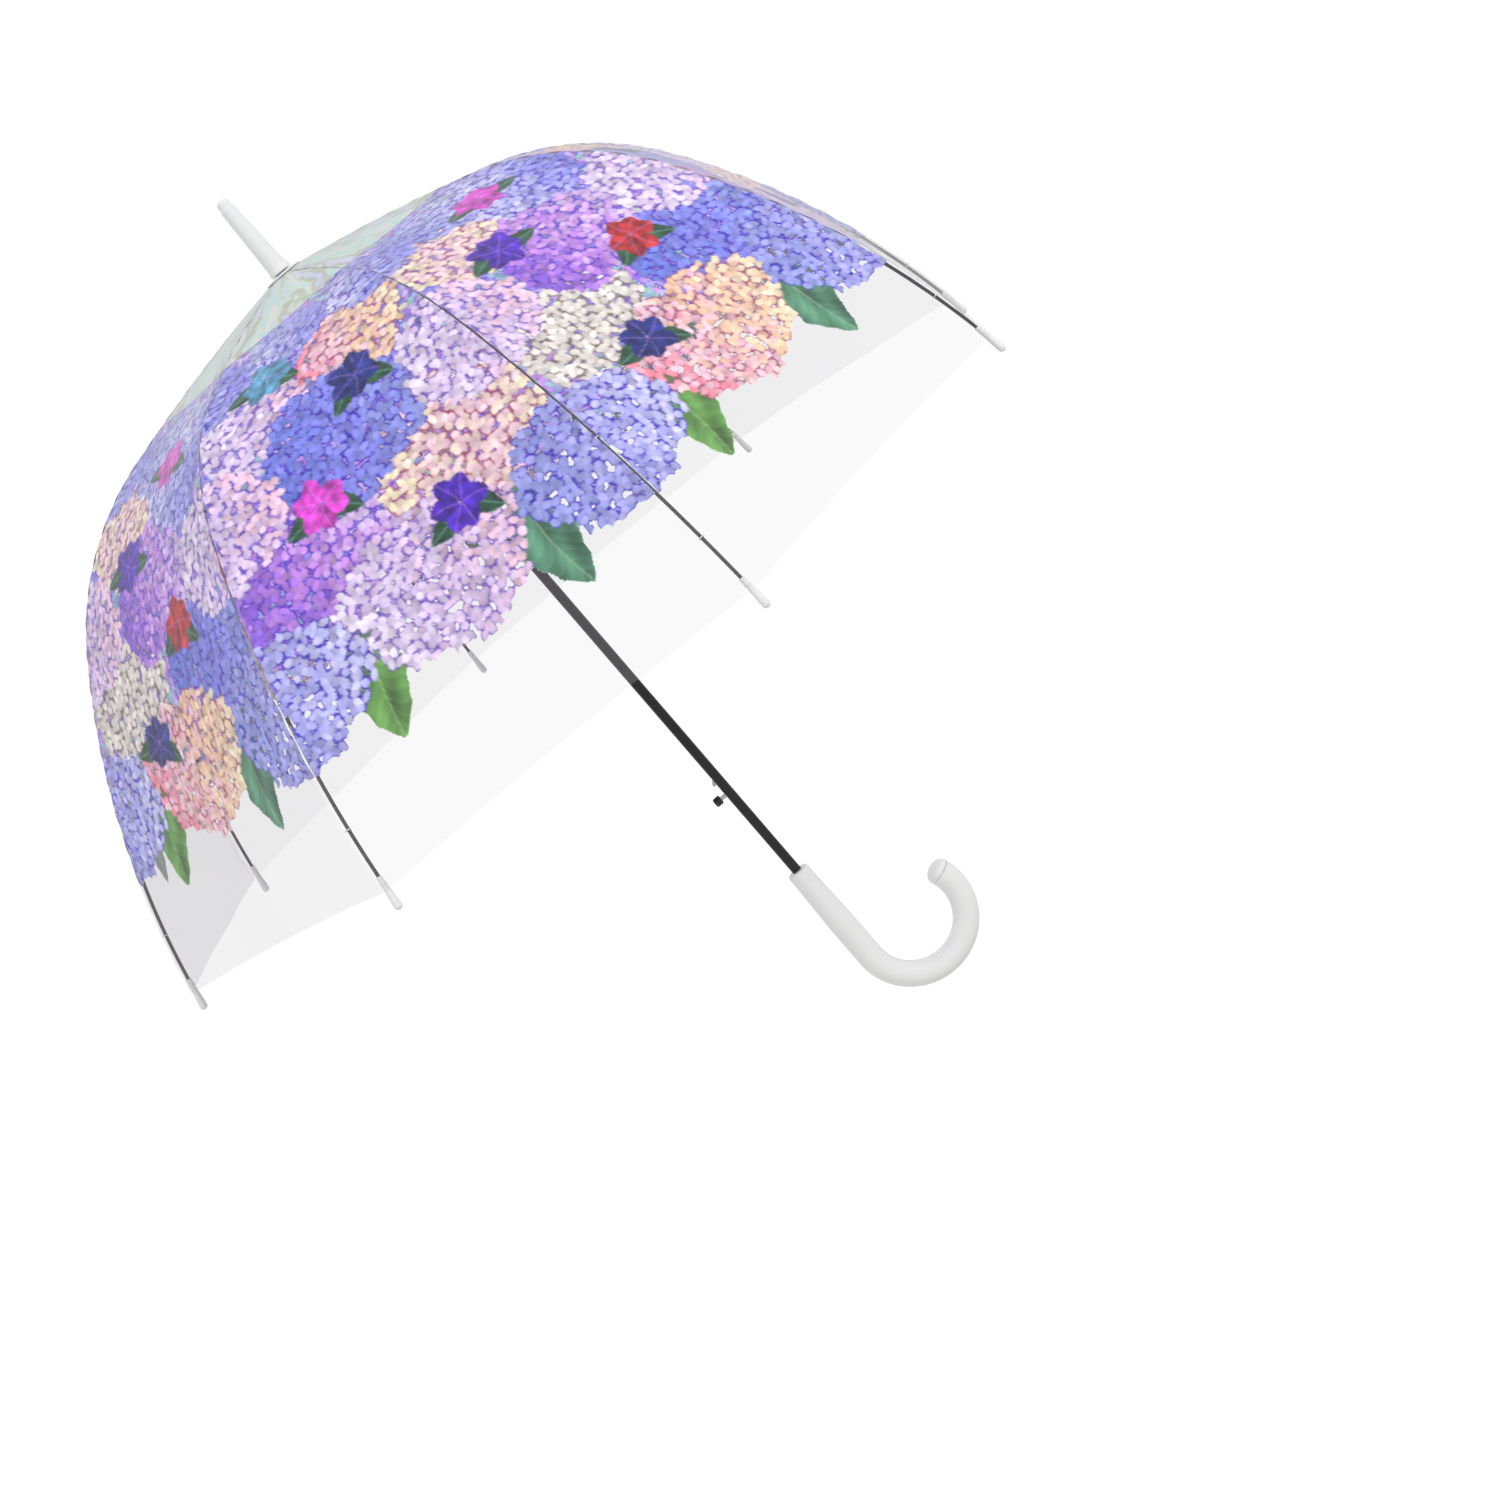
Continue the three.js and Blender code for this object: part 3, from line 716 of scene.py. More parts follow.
tone = {
    "peri": (0.66, 0.66, 0.92), "periPale": (0.8, 0.8, 0.96), "blue": (0.52, 0.53, 0.9),
    "violet": (0.55, 0.38, 0.84), "deep": (0.3, 0.15, 0.72), "lilac": (0.85, 0.76, 0.92),
    "lilacPale": (0.91, 0.86, 0.94), "pink": (0.94, 0.78, 0.86), "rose": (0.95, 0.56, 0.64),
    "peach": (0.96, 0.78, 0.66), "cream": (0.93, 0.88, 0.76),
    "white": (0.87, 0.845, 0.83), "steel": (0.56, 0.6, 0.86), "corn": (0.44, 0.5, 0.87),
    "navy": (0.15, 0.2, 0.5), "teal": (0.3, 0.58, 0.72), "mint": (0.56, 0.8, 0.74),
    "leaf": (0.4, 0.6, 0.32), "leafDark": (0.18, 0.33, 0.25), "leafTeal": (0.34, 0.54, 0.44),
    "magenta": (0.84, 0.26, 0.78),
    "red": (0.7, 0.18, 0.2), "orchid": (0.76, 0.54, 0.88), "sage": (0.68, 0.72, 0.58),
    "gapViolet": (0.34, 0.2, 0.74), "gapBlue": (0.23, 0.16, 0.7), "gapLilac": (0.42, 0.31, 0.7),
    "gapGrey": (0.46, 0.4, 0.38), "gapRose": (0.6, 0.3, 0.42),
    "silver": (0.83, 0.87, 0.86), "aqua": (0.68, 0.87, 0.86), "blush": (0.9, 0.865, 0.85),
}


def tones(*names):
    return [tone[n] for n in names]


schemes = {
    "peri": (("periPale", "peri", "blue"), "gapBlue"),
    "steel": (("steel", "peri", "periPale"), "gapBlue"),
    "corn": (("corn", "blue", "steel"), "gapBlue"),
    "lilac": (("lilacPale", "lilac", "pink"), "gapLilac"),
    "orchid": (("violet", "orchid", "lilac"), "gapViolet"),
    "rose": (("rose", "pink", "peach", "cream"), "gapRose"),
    "cream": (("cream", "pink", "cream"), "gapRose"),
    "white": (("white", "blush", "white"), "gapGrey"),
}
# heads stand in rows like bricks, millimetres from the apex along the film
bricks = {
    "runs": (196, 258, 324, 392, 458),
    "tall": (42, 47, 52, 54, 52),
    "wide": 0.54, "grow": (0.94, 1.1), "jitter": 5, "petal": 5.4,
    "crown": 190,           # streaks of colour down to here
    "ground": (150, 436),   # petals under the heads
}
hanging = {"run": 440, "end": 528, "width": 44, "splay": 9, "vein": (0.74, 0.84, 0.62)}
accent = {
    "aside": 0.3, "reach": 23, "width": 16, "petals": 6,
    "leafReach": (36, 30), "leafWidth": 17,
}


def halfWidth(s):
    return float(np.interp(s / 1000, lineSteps, lineTable[:, 0])) * math.sin(half) * 1000


def brickHead(p, x, s, grow, row, name, seed):
    names, gap = schemes[name]
    rx, rs = bricks["wide"] * halfWidth(bricks["runs"][row]) * grow, bricks["tall"][row] * grow
    head(p, x, s, rx, rs, tones(*names), tone[gap], seed, bricks["petal"])


# inner names the heads of each row from left to right; onRib those that two panels share at a rib
def flowerPanel(inner, onRib, accents, seed):
    rng = np.random.default_rng(seed)
    p = newPanel()
    streaks = tones("silver", "blush", "aqua", "silver", "sage", "periPale", "silver")
    wash(p, 0, bricks["crown"], streaks, seed)
    mixed = tones("orchid", "peri", "mint", "steel", "violet", "lilac", "blue")
    filler(p, *bricks["ground"], mixed, tone["gapViolet"], 11)
    for side, colour in ((-1, "leaf"), (1, "leafTeal")):
        x = side * halfWidth(470) / 2
        tip = (x + side * hanging["splay"], hanging["end"])
        leaf(p, (x, hanging["run"]), tip, hanging["width"], tone[colour], hanging["vein"],
             seed + 2 + side, 0.9, 0.06)
    for row in (1, 3, 0, 2, 4):
        s = bricks["runs"][row]
        wide = halfWidth(s)
        places = (-wide / 2, wide / 2) if row % 2 else (0,)
        for i, (x, name) in enumerate(zip(places, inner[row])):
            dx, ds = rng.uniform(-bricks["jitter"], bricks["jitter"], 2)
            grow = rng.uniform(*bricks["grow"])
            brickHead(p, x + dx, s + ds, grow, row, name, seed + 10 * row + i)
        if row % 2 == 0:
            for side in (-1, 1):
                brickHead(p, side * wide, s, 1.0, row, onRib[row // 2], 700 + row)
    for i, name in enumerate(accents):
        s = (bricks["runs"][i] + bricks["runs"][i + 1]) / 2
        x = halfWidth(s) * accent["aside"] * (1 if (i + seed) % 2 else -1)
        for turn in rng.uniform((0.2, 2.4), (0.9, 3.2)):
            across, along = accent["leafReach"]
            tip = (x + across * math.cos(turn), s + along * math.sin(turn))
            leaf(p, (x, s), tip, accent["leafWidth"], tone["leafDark"], tone["mint"],
                 seed + 60 + i, 0.9)
        bloom(p, x, s, accent["reach"], accent["width"], accent["petals"], tone[name],
              tone["orchid"], seed + 90 + i)
    return p


def linear(rgb):
    return np.where(rgb <= 0.04045, rgb / 12.92, ((rgb + 0.055) / 1.055) ** 2.4)


def sample(grid, x, s):
    i = np.clip((x * 1000 - xs[0]) / canvas["cell"], 0, len(xs) - 1.001)
    j = np.clip(s * 1000 / canvas["cell"], 0, len(ss) - 1.001)
    i0, j0 = i.astype(int), j.astype(int)
    fi, fj = i - i0, j - j0
    if grid.ndim == 3:
        fi, fj = fi[:, None], fj[:, None]
    top = grid[j0, i0] * (1 - fi) + grid[j0, i0 + 1] * fi
    low = grid[j0 + 1, i0] * (1 - fi) + grid[j0 + 1, i0 + 1] * fi
    return top * (1 - fj) + low * fj


printLook = {"cell": 0.0013, "lift": 0.00015, "margin": 0.0009}


def makePrint(k, panel):
    spans = {"gore": (0.012, splitRun), "skirt": (splitRun, 0.56)}
    for part, (s0, s1) in spans.items():
        cell = printLook["cell"]
        rows = int(round((s1 - s0) / cell)) + 1
        sRow = np.linspace(s0, s1, rows)
        wide = np.interp(s1, lineSteps, lineTable[:, 0]) * math.sin(half)
        columns = 2 * int(math.ceil(wide / cell)) + 1
        xRow = (np.arange(columns) - columns // 2) * cell
        margin = printLook["margin"] * np.interp(sRow, (0.2, 0.34), (0.4, 1.0))
        hw = np.interp(sRow, lineSteps, lineTable[:, 0]) * math.sin(half) - margin
        x = np.clip(xRow[None, :], -hw[:, None], hw[:, None])
        s = np.broadcast_to(sRow[:, None], x.shape)
        u = x / (hw + margin)[:, None]
        flat = (x.ravel(), s.ravel())
        alpha = sample(panel["alpha"], *flat)
        quads = gridQuads(rows, columns)
        xf = x.ravel()
        solid = (alpha[quads] > 0.5).sum(1) >= 3
        top, low = xf[quads[:, 3]] - xf[quads[:, 0]], xf[quads[:, 2]] - xf[quads[:, 1]]
        wideEnough = np.abs(top) + np.abs(low) > 1e-5
        quads = quads[solid & wideEnough]
        used, quads = np.unique(quads, return_inverse=True)
        quads = quads.reshape(-1, 4)
        uu, sv = u.ravel()[used], s.ravel()[used]
        points = filmPoints(k, uu, sv, printLook["lift"])
        obj = gridObject(f"print_{part}_{k + 1}", points, quads, ink)
        colour = np.ones((len(used), 4), np.float32)
        colour[:, :3] = linear(np.clip(sample(panel["rgb"], xf[used], sv), 0, 1))
        layer = obj.data.color_attributes.new("ink", "FLOAT_COLOR", "POINT")
        layer.data.foreach_set("color", colour.ravel())
        foldAway(obj, f"{part}_swing_{k + 1}")


onRib = ("peri", "lilac", "steel")
panels = (
    flowerPanel((("steel",), ("cream", "peri"), ("orchid",), ("white", "corn"), ("rose",)), onRib,
                ("magenta", "deep", "red", "navy"), 5),
    flowerPanel((("peri",), ("lilac", "rose"), ("corn",), ("orchid", "cream"), ("lilac",)), onRib,
                ("teal", "navy", "magenta", "deep"), 12),
)
print("print painted")
for k in range(dome["count"]):
    makePrint(k, panels[k % 2])
print("print laid")

ribLook = {
    "radius": 0.0013, "drop": 0.003, "hingeDrop": 0.0056, "dropRun": 0.052, "hingeRun": 0.0095,
    "earRun": 0.395, "earDrop": 0.004,
    "bend": (0.01, 0.025),    # before and after the shoulder
    "steps": 160,
}


def ribPoint(s):
    r, z, a = lineAt(s, run)
    rise = max(0.0, 1 - (s - ribLook["hingeRun"]) / ribLook["dropRun"])
    d = ribLook["drop"] + (ribLook["hingeDrop"] - ribLook["drop"]) * rise * rise
    return Vector((r - d * math.sin(a), 0, z - d * math.cos(a)))


def spokeTurn(k):
    return Matrix.Rotation(ribAngle(k), 4, "Z")


# flat eye in the XZ plane
def ringPlate(bm, centre, outer, inner, thickness, segments=20):
    rings = []
    for y in (-thickness / 2, thickness / 2):
        for r in (inner, outer):
            rings.append([bm.verts.new((centre.x + r * math.cos(a), y, centre.z + r * math.sin(a)))
                          for a in (2 * math.pi * i / segments for i in range(segments))])
    backIn, backOut, frontIn, frontOut = rings
    for i in range(segments):
        j = (i + 1) % segments
        bm.faces.new((backIn[i], backIn[j], backOut[j], backOut[i]))
        bm.faces.new((frontOut[i], frontOut[j], frontIn[j], frontIn[i]))
        bm.faces.new((backOut[i], backOut[j], frontOut[j], frontOut[i]))
        bm.faces.new((frontIn[i], frontIn[j], backIn[j], backIn[i]))


def fromBmesh(name, bm, material, smoothAngle=None):
    mesh = bpy.data.meshes.new(name)
    bmesh.ops.recalc_face_normals(bm, faces=bm.faces)
    bm.to_mesh(mesh)
    bm.free()
    mesh.materials.append(material)
    if smoothAngle:
        mesh.polygons.foreach_set("use_smooth", [True] * len(mesh.polygons))
        mesh.set_sharp_from_angle(angle=smoothAngle)
    return shown(name, mesh)


earRun = ribLook["earRun"] * run
earSlope = lineAt(earRun, run)[2]
earDown = Vector((-math.sin(earSlope), 0, -math.cos(earSlope)))
earPivot = ribPoint(earRun) + earDown * ribLook["earDrop"]
ribHinge = ribPoint(ribLook["hingeRun"])


def blendAtShoulder(obj, k):
    turn = spokeTurn(k)
    before, after = ribLook["bend"]
    ends = [tuple(turn @ ribPoint(s)) for s in (splitRun - before, splitRun + after)]
    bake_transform(obj)


def makeRib(k):
    start, end = ribLook["hingeRun"] + 0.0015, run - 0.012
    steps = ribLook["steps"]
    path = [ribPoint(start + (end - start) * i / steps) for i in range(steps + 1)]
    rod = tube(f"ribRod_{k + 1}", path, ribLook["radius"], blackSteel, 12)
    bm = bmesh.new()
    ringPlate(bm, ribHinge, 0.0019, 0.0009, 0.0016)
    ringPlate(bm, earPivot, 0.002, 0.001, 0.0016)
    place = Matrix.Translation(earPivot) @ Matrix.Rotation(earSlope, 4, "Y")
    boxAt(bm, (-0.0016, -0.0008, 0.0012), (0.0016, 0.0008, 0.0042), place)
    ears = fromBmesh(f"ribEar_{k + 1}", bm, blackSteel, 0.6)
    sleeve = [ribPoint(earRun + d) for d in (-0.006, -0.0055, 0.0055, 0.006)]
    sizes = (0.0015, 0.0018, 0.0018, 0.0015)
    clip = tube(f"ribClip_{k + 1}", sleeve, sizes, blackSteel, 12)
    obj = joined(f"rib_rod_{k + 1}", [rod, ears, clip])
    obj.data.transform(spokeTurn(k))
    blendAtShoulder(obj, k)
    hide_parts(f"rib_{k + 1}")


weldLook = {"width": 0.0026, "lift": 0.0003, "start": 0.02, "steps": 150}


# welded seam over a rib: a narrow strip bent over the crease between two gores
def makeWeld(k):
    steps = weldLook["steps"]
    s = np.linspace(weldLook["start"], rimRun, steps)
    r = np.interp(s, lineSteps, lineTable[:, 0]) * math.sin(half)
    columns = []
    before, after = (1, k - 1), (-1, k)
    strips = ((before, 1.0), (before, 0.45), (before, 0.0), (after, 0.45), (after, 1.0))
    for (side, gore), share in strips:
        u = side * (1 - share * weldLook["width"] / r)
        columns.append(filmPoints(gore, u, s, weldLook["lift"] if share < 1 else 0.0001))
    points = np.stack(columns, 1).reshape(-1, 3)
    obj = gridObject(f"weld_{k + 1}", points, gridQuads(steps, 5), weld)
    blendAtShoulder(obj, k)


capLook = {"length": 0.026, "neck": 0.0021, "wide": 0.0029}


# white cap turned along Z, then laid along the end of its rib
def makeCap(k):
    neck, inCap = ribPoint(run - capLook["length"]), ribPoint(run - 0.012)
    heading = (inCap - neck).normalized()
    tip = inCap + heading * 0.012
    w, n, l = capLook["wide"], capLook["neck"], capLook["length"]
    outline = [(0.00135, -l), (n, -l), (n, -l + 0.0045), (n + 0.0003, -l + 0.005),
               (n + 0.0003, -l + 0.0062), (n, -l + 0.0068), (w - 0.0005, -0.014), (w, -0.006),
               (w, -0.0022), (w - 0.0006, -0.0009), (0, 0)]
    obj = turned(f"cap_{k + 1}", rounded(outline, 0.0006), fittingWhite, 28)
    turn = heading.to_track_quat("Z", "Y").to_matrix().to_4x4()
    obj.data.transform(Matrix.Translation(tip) @ turn)
    obj.data.transform(spokeTurn(k))
    finishPiece(obj, f"rib_bend_{k + 1}", "fitting_white", f"rib_cap_{k + 1}")


tieLook = {"places": (run - 0.063, run - 0.16), "radius": 0.00215, "wire": 0.0004}


# small ties that hold the film to a rib
def makeTies(k):
    spots = []
    for s in tieLook["places"]:
        heading = ribPoint(s + 0.001) - ribPoint(s - 0.001)
        slope = lineAt(s, run)[2]
        centre = ribPoint(s) + Vector((math.sin(slope), 0, math.cos(slope))) * 0.0008
        spots.append((spokeTurn(k) @ centre, tuple((spokeTurn(k) @ heading).normalized())))
    obj = studs(f"ties_{k + 1}", tieRings, spots, tieLook["radius"], tieLook["wire"], fittingWhite)
    finishPiece(obj, f"rib_bend_{k + 1}", "fitting_white")


stretcherLook = {"radius": 0.0012, "eye": 0.0019, "gap": 0.0012, "wall": 0.0008, "drop": 0.17}
runnerHinge = Vector((ribHinge.x, 0, dome["apex"] - stretcherLook["drop"]))


# stretcher along X from its eye to its fork, then laid between its two pivots
def makeStretcher(k):
    reach = earPivot - runnerHinge
    length = reach.length
    thin, gap = stretcherLook["radius"], stretcherLook["gap"]
    side = gap + stretcherLook["wall"]
    stations = (0.0015, 0.006, 0.011, 0.06, 0.13, length - 0.012, length - 0.008, length - 0.0034)
    rod = tube(f"stretcherRod_{k + 1}", [(x, 0, 0) for x in stations], thin, blackSteel, 12)
    bm = bmesh.new()
    ringPlate(bm, Vector((0, 0, 0)), stretcherLook["eye"], 0.0009, 0.0016)
    boxAt(bm, (length - 0.0054, -side, -0.0015), (length - 0.0027, side, 0.0015))
    for y0, y1 in ((-side, -gap), (gap, side)):
        boxAt(bm, (length - 0.003, y0, -0.0015), (length + 0.0015, y1, 0.0015))
    sharp = [e for e in bm.edges if e.calc_face_angle(0) > 1]
    bmesh.ops.bevel(bm, geom=sharp, offset=0.00018, segments=2, affect="EDGES")
    fork = fromBmesh(f"stretcherFork_{k + 1}", bm, blackSteel, 0.6)
    pin = tube(f"stretcherPin_{k + 1}", [(length, -side, 0), (length, side, 0)], 0.0006, wire, 10)
    ends = [((length, y, 0), (0, 1, 0)) for y in (-side, side)]
    heads = studs(f"stretcherRivet_{k + 1}", rivetHeads, ends, 0.0011, 0.4, wire)
    obj = joined(f"stretcher_rod_{k + 1}", [rod, fork, pin, heads])
    obj.data.transform(Matrix.Rotation(-math.atan2(reach.z, reach.x), 4, "Y"))
    obj.data.transform(Matrix.Translation(runnerHinge))
    obj.data.transform(spokeTurn(k))
    finishPiece(obj, f"stretcher_swing_{k + 1}", "black_steel", f"stretcher_{k + 1}")


for k in range(dome["count"]):
    makeRib(k)
    makeWeld(k)
    makeCap(k)
    makeTies(k)
    makeStretcher(k)
print("ribs, caps and stretchers made")

hubLook = {"reach": 0.011, "groove": 0.0009, "slot": 0.0032, "slotDepth": 0.0023, "bore": 0.00435}


# cuts the boxes out of obj and keeps a plain mesh
def cut(obj, cutters):
    bm = bmesh.new()
    for low, high, angle in cutters:
        boxAt(bm, low, high, Matrix.Rotation(angle, 4, "Z"))
    tool = fromBmesh("tool", bm, obj.data.materials[0])
    change = obj.modifiers.new("cut", "BOOLEAN")
    change.operation, change.solver, change.object = "DIFFERENCE", "EXACT", tool
    result = evaluated(obj)
    obj.modifiers.remove(change)
    obj.data = result
    bpy.data.objects.remove(tool)
    result.polygons.foreach_set("use_smooth", [True] * len(result.polygons))
    result.set_sharp_from_angle(angle=0.6)
    return obj


# closed ring of revolution; corners go once round its section
def turnedRing(name, corners, material, segments=64):
    obj = turned(name, corners + [corners[0]], material, segments)
    bm = bmesh.new()
    bm.from_mesh(obj.data)
    bmesh.ops.remove_doubles(bm, verts=bm.verts, dist=1e-7)
    bmesh.ops.recalc_face_normals(bm, faces=bm.faces)
    bm.to_mesh(obj.data)
    bm.free()
    obj.data.set_sharp_from_angle(angle=0.6)
    return obj


def slots(low, high):
    inner, outer = ribHinge.x - hubLook["slotDepth"], hubLook["reach"] + 0.002
    w = hubLook["slot"] / 2
    return [((inner, -w, low), (outer, w, high), ribAngle(k)) for k in range(dome["count"])]


notchTop = lineAt(0.013, run)[1] - 0.00215
notchFoot = ribHinge.z - 0.005


def makeNotch():
    h, g, n, p = ribHinge.z, hubLook["groove"], hubLook["reach"], ribHinge.x
    bore = hubLook["bore"]
    corners = [(bore, notchFoot), (n - 0.0005, notchFoot), (n, notchFoot + 0.0005), (n, h - g),
               (p - g, h - g), (p - g, h + g), (n, h + g), (n, notchTop - 0.0004),
               (n - 0.0004, notchTop), (bore, notchTop)]
    obj = turnedRing("notch_hub", corners, hubBlack)
    cut(obj, slots(notchFoot - 0.001, notchTop + 0.001))
    finishPiece(obj, "frame", "hub_black", "top_notch")


runnerTop = runnerHinge.z + 0.003
runnerFoot = runnerHinge.z - 0.041


def makeRunner():
    h, g, n, p = runnerHinge.z, hubLook["groove"], hubLook["reach"], ribHinge.x
    bore = hubLook["bore"] + 0.0001
    f = runnerFoot
    corners = [(bore, f), (0.0082, f), (0.0087, f + 0.0004), (0.009, f + 0.001),
               (0.009, f + 0.0026), (0.0086, f + 0.0034), (0.0075, f + 0.0046),
               (0.0072, f + 0.0054), (0.0072, h - 0.0071),
               (0.0076, h - 0.006), (n - 0.0006, h - 0.0047), (n, h - 0.0041), (n, h - g),
               (p - g, h - g), (p - g, h + g), (n, h + g), (n, runnerTop - 0.0004),
               (n - 0.0004, runnerTop), (bore, runnerTop)]
    obj = turnedRing("runner_slide_hub", corners, hubBlack)
    window = h - 0.035
    openings = [((-0.012, -0.0018, window - 0.0042), (-0.002, 0.0018, window + 0.0042), 0)]
    flutes = [((0.0068, -0.0007, f + 0.0085), (0.009, 0.0007, h - 0.011), math.radians(a))
              for a in range(20, 360, 40) if abs(a - 180) > 25]
    cut(obj, slots(h - 0.0055, runnerTop + 0.001) + openings + flutes)
    finishPiece(obj, "slider", "hub_black", "runner")


shaftLook = {
    "radius": 0.004, "wall": 0.0007, "foot": -0.03, "over": 0.033,
    "catch": 0.144, "catchSlot": 0.0036, "button": 0.13, "buttonSlot": 0.0022,
}


def makeShaft():
    inner, outer = shaftLook["radius"] - shaftLook["wall"], shaftLook["radius"]
    low, high = shaftLook["foot"], dome["apex"] + shaftLook["over"]
    heights = [low + (high - low) * i / 40 for i in range(41)]
    corners = [(inner, low)] + [(outer, z) for z in heights]
    corners += [(inner, z) for z in reversed(heights[1:])]
    obj = turnedRing("shaft", corners, blackSteel, 48)
    stop = runnerTop + 0.0014
    openings = []
    for part in ("catch", "button"):
        z, tall = shaftLook[part], shaftLook[part + "Slot"]
        openings.append(((-0.005, -0.0015, z - tall), (-0.002, 0.0015, z + tall), 0))
    openings.append(((-0.006, -0.0014, stop - 0.0014), (0.006, 0.0014, stop + 0.0014), 0))
    cut(obj, openings)
    finishPiece(obj, "frame", "black_steel", "shaft_tube")


coil = {"wire": 0.0006, "radius": 0.0063, "turns": 15, "stepsPerTurn": 28}


def makeSpring():
    low, high = runnerTop + coil["wire"] + 0.0003, notchFoot - coil["wire"] - 0.0003
    count = coil["turns"] * coil["stepsPerTurn"]
    path = []
    for i in range(count + 1):
        t = i / count
        a = 2 * math.pi * coil["turns"] * t
        x, y = coil["radius"] * math.cos(a), coil["radius"] * math.sin(a)
        path.append((x, y, low + t * (high - low)))
    obj = tube("coil_spring", path, coil["wire"], wire, 8)
    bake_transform(obj)
    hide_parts("open_spring")


def makeButton():
    outline = [(0, 0.0022), (0.0023, 0.0022), (0.0023, 0), (0.0034, 0), (0.00375, 0.0005),
               (0.00375, 0.005), (0.0033, 0.006), (0.0016, 0.0063), (0, 0.0064)]
    obj = turned("button_top", rounded(outline, 0.0005), hubBlack, 40)
    obj.data.transform(Matrix.Rotation(-math.pi / 2, 4, "Y"))
    obj.data.transform(Matrix.Translation((-0.0085, 0, shaftLook["button"])))
    finishPiece(obj, "catch", "hub_black", "button_cap")


leafLook = {"thickness": 0.0002, "width": 0.0016, "steps": 12}


# bent strip inside the tube: its bend lies at the wall, and its ends turn in towards the lever
def makeLeafSpring():
    middle = (shaftLook["catch"] + shaftLook["button"]) / 2
    wall = shaftLook["radius"] - shaftLook["wall"] - leafLook["thickness"]
    corners = [(-0.0011, middle + 0.0048), (wall - 0.0001, middle - 0.0033),
               (-0.00055, middle - 0.0051)]
    line = []
    for (x0, z0), (x1, z1) in zip(corners, corners[1:]):
        steps = leafLook["steps"]
        line += [(x0 + (x1 - x0) * i / steps, z0 + (z1 - z0) * i / steps) for i in range(steps)]
    line.append(corners[-1])
    bm = bmesh.new()
    rows = []
    for i, (x, z) in enumerate(line):
        x0, z0 = line[max(i - 1, 0)]
        x1, z1 = line[min(i + 1, len(line) - 1)]
        length = math.hypot(x1 - x0, z1 - z0)
        thin, y = leafLook["thickness"] / 2, leafLook["width"] / 2
        dx, dz = (z1 - z0) / length * thin, -(x1 - x0) / length * thin
        section = ((x - dx, -y, z - dz), (x + dx, -y, z + dz),
                   (x + dx, y, z + dz), (x - dx, y, z - dz))
        rows.append([bm.verts.new(c) for c in section])
    for a, b in zip(rows, rows[1:]):
        for i in range(4):
            bm.faces.new((a[i], a[(i + 1) % 4], b[(i + 1) % 4], b[i]))
    bm.faces.new(rows[0])
    bm.faces.new(tuple(reversed(rows[-1])))
    obj = fromBmesh("leaf_spring", bm, wire, 0.6)
    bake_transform(obj)
    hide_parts("catch_spring")


makeNotch()
makeRunner()
makeShaft()
makeSpring()
makeButton()
makeLeafSpring()
print("hubs, shaft and spring made")

ferruleLook = {
    "base": dome["apex"] + 0.001, "tip": dome["apex"] + 0.069, "depth": 0.036, "bore": 0.00435,
}


def makeFerrule():
    low, high, bore = ferruleLook["base"], ferruleLook["tip"], ferruleLook["bore"]
    deep = dome["apex"] + ferruleLook["depth"]
    outline = [(0, deep), (bore, deep), (bore, low), (0.009, low), (0.009, low + 0.0025),
               (0.008, low + 0.0045), (0.0059, high - 0.009), (0.0059, high - 0.0075),
               (0.005, high - 0.0068), (0.005, high - 0.0025), (0.0043, high - 0.0007),
               (0.0034, high), (0, high)]
    obj = turned("ferrule_cap", rounded(outline, 0.0007), fittingWhite, 64)
    obj.data.set_sharp_from_angle(angle=0.7)
    finishPiece(obj, "frame", "fitting_white", "ferrule")


def makeCrownWasher():
    a, b = lineAt(0.005, run), lineAt(0.016, run)
    rise, columns = 0.00045, 96
    corners = [(a[0], a[1] + rise), (b[0], b[1] + rise), (b[0] + 0.0001, b[1] + rise + 0.0004),
               (b[0] - 0.0003, b[1] + rise + 0.0008), (a[0], a[1] + rise + 0.001)]
    obj = turnedRing("washer_top", corners, fittingWhite, columns)
    finishPiece(obj, "frame", "fitting_white", "crown_washer")


makeFerrule()
makeCrownWasher()
print("ferrule and washer made")

grip = {
    "top": 0.046, "bottom": -0.046, "radius": 0.0108, "topRadius": 0.0094,
    "hook": 0.044, "sweep": math.radians(200), "bore": 0.00435,
}


def hookPoint(t):
    a = math.pi + grip["sweep"] * t
    bow = grip["hook"]
    return Vector((bow + bow * math.cos(a), 0, grip["bottom"] + bow * math.sin(a)))


def makeHandle():
    top, low, wide = grip["top"], grip["bottom"], grip["radius"]
    slim = top - 0.0018
    stations = [(top, grip["bore"]), (top, 0.0078), (top - 0.0003, 0.0086), (top - 0.0009, 0.0092),
                (slim, grip["topRadius"])]
    for i in range(1, 15):
        z = slim + (low - slim) * i / 14
        ease = min(1.0, (slim - z) / 0.06)
        ease = ease * ease * (3 - 2 * ease)
        stations.append((z, grip["topRadius"] + (wide - grip["topRadius"]) * ease))
    path = [Vector((0, 0, z)) for z, _ in stations] + [hookPoint(i / 72) for i in range(1, 73)]
    radii = [r for _, r in stations] + [wide] * 72
    obj = tube("handle", path, radii, handleWhite, 48)
    finishPiece(obj, "frame", "handle_white", "handle_grip")


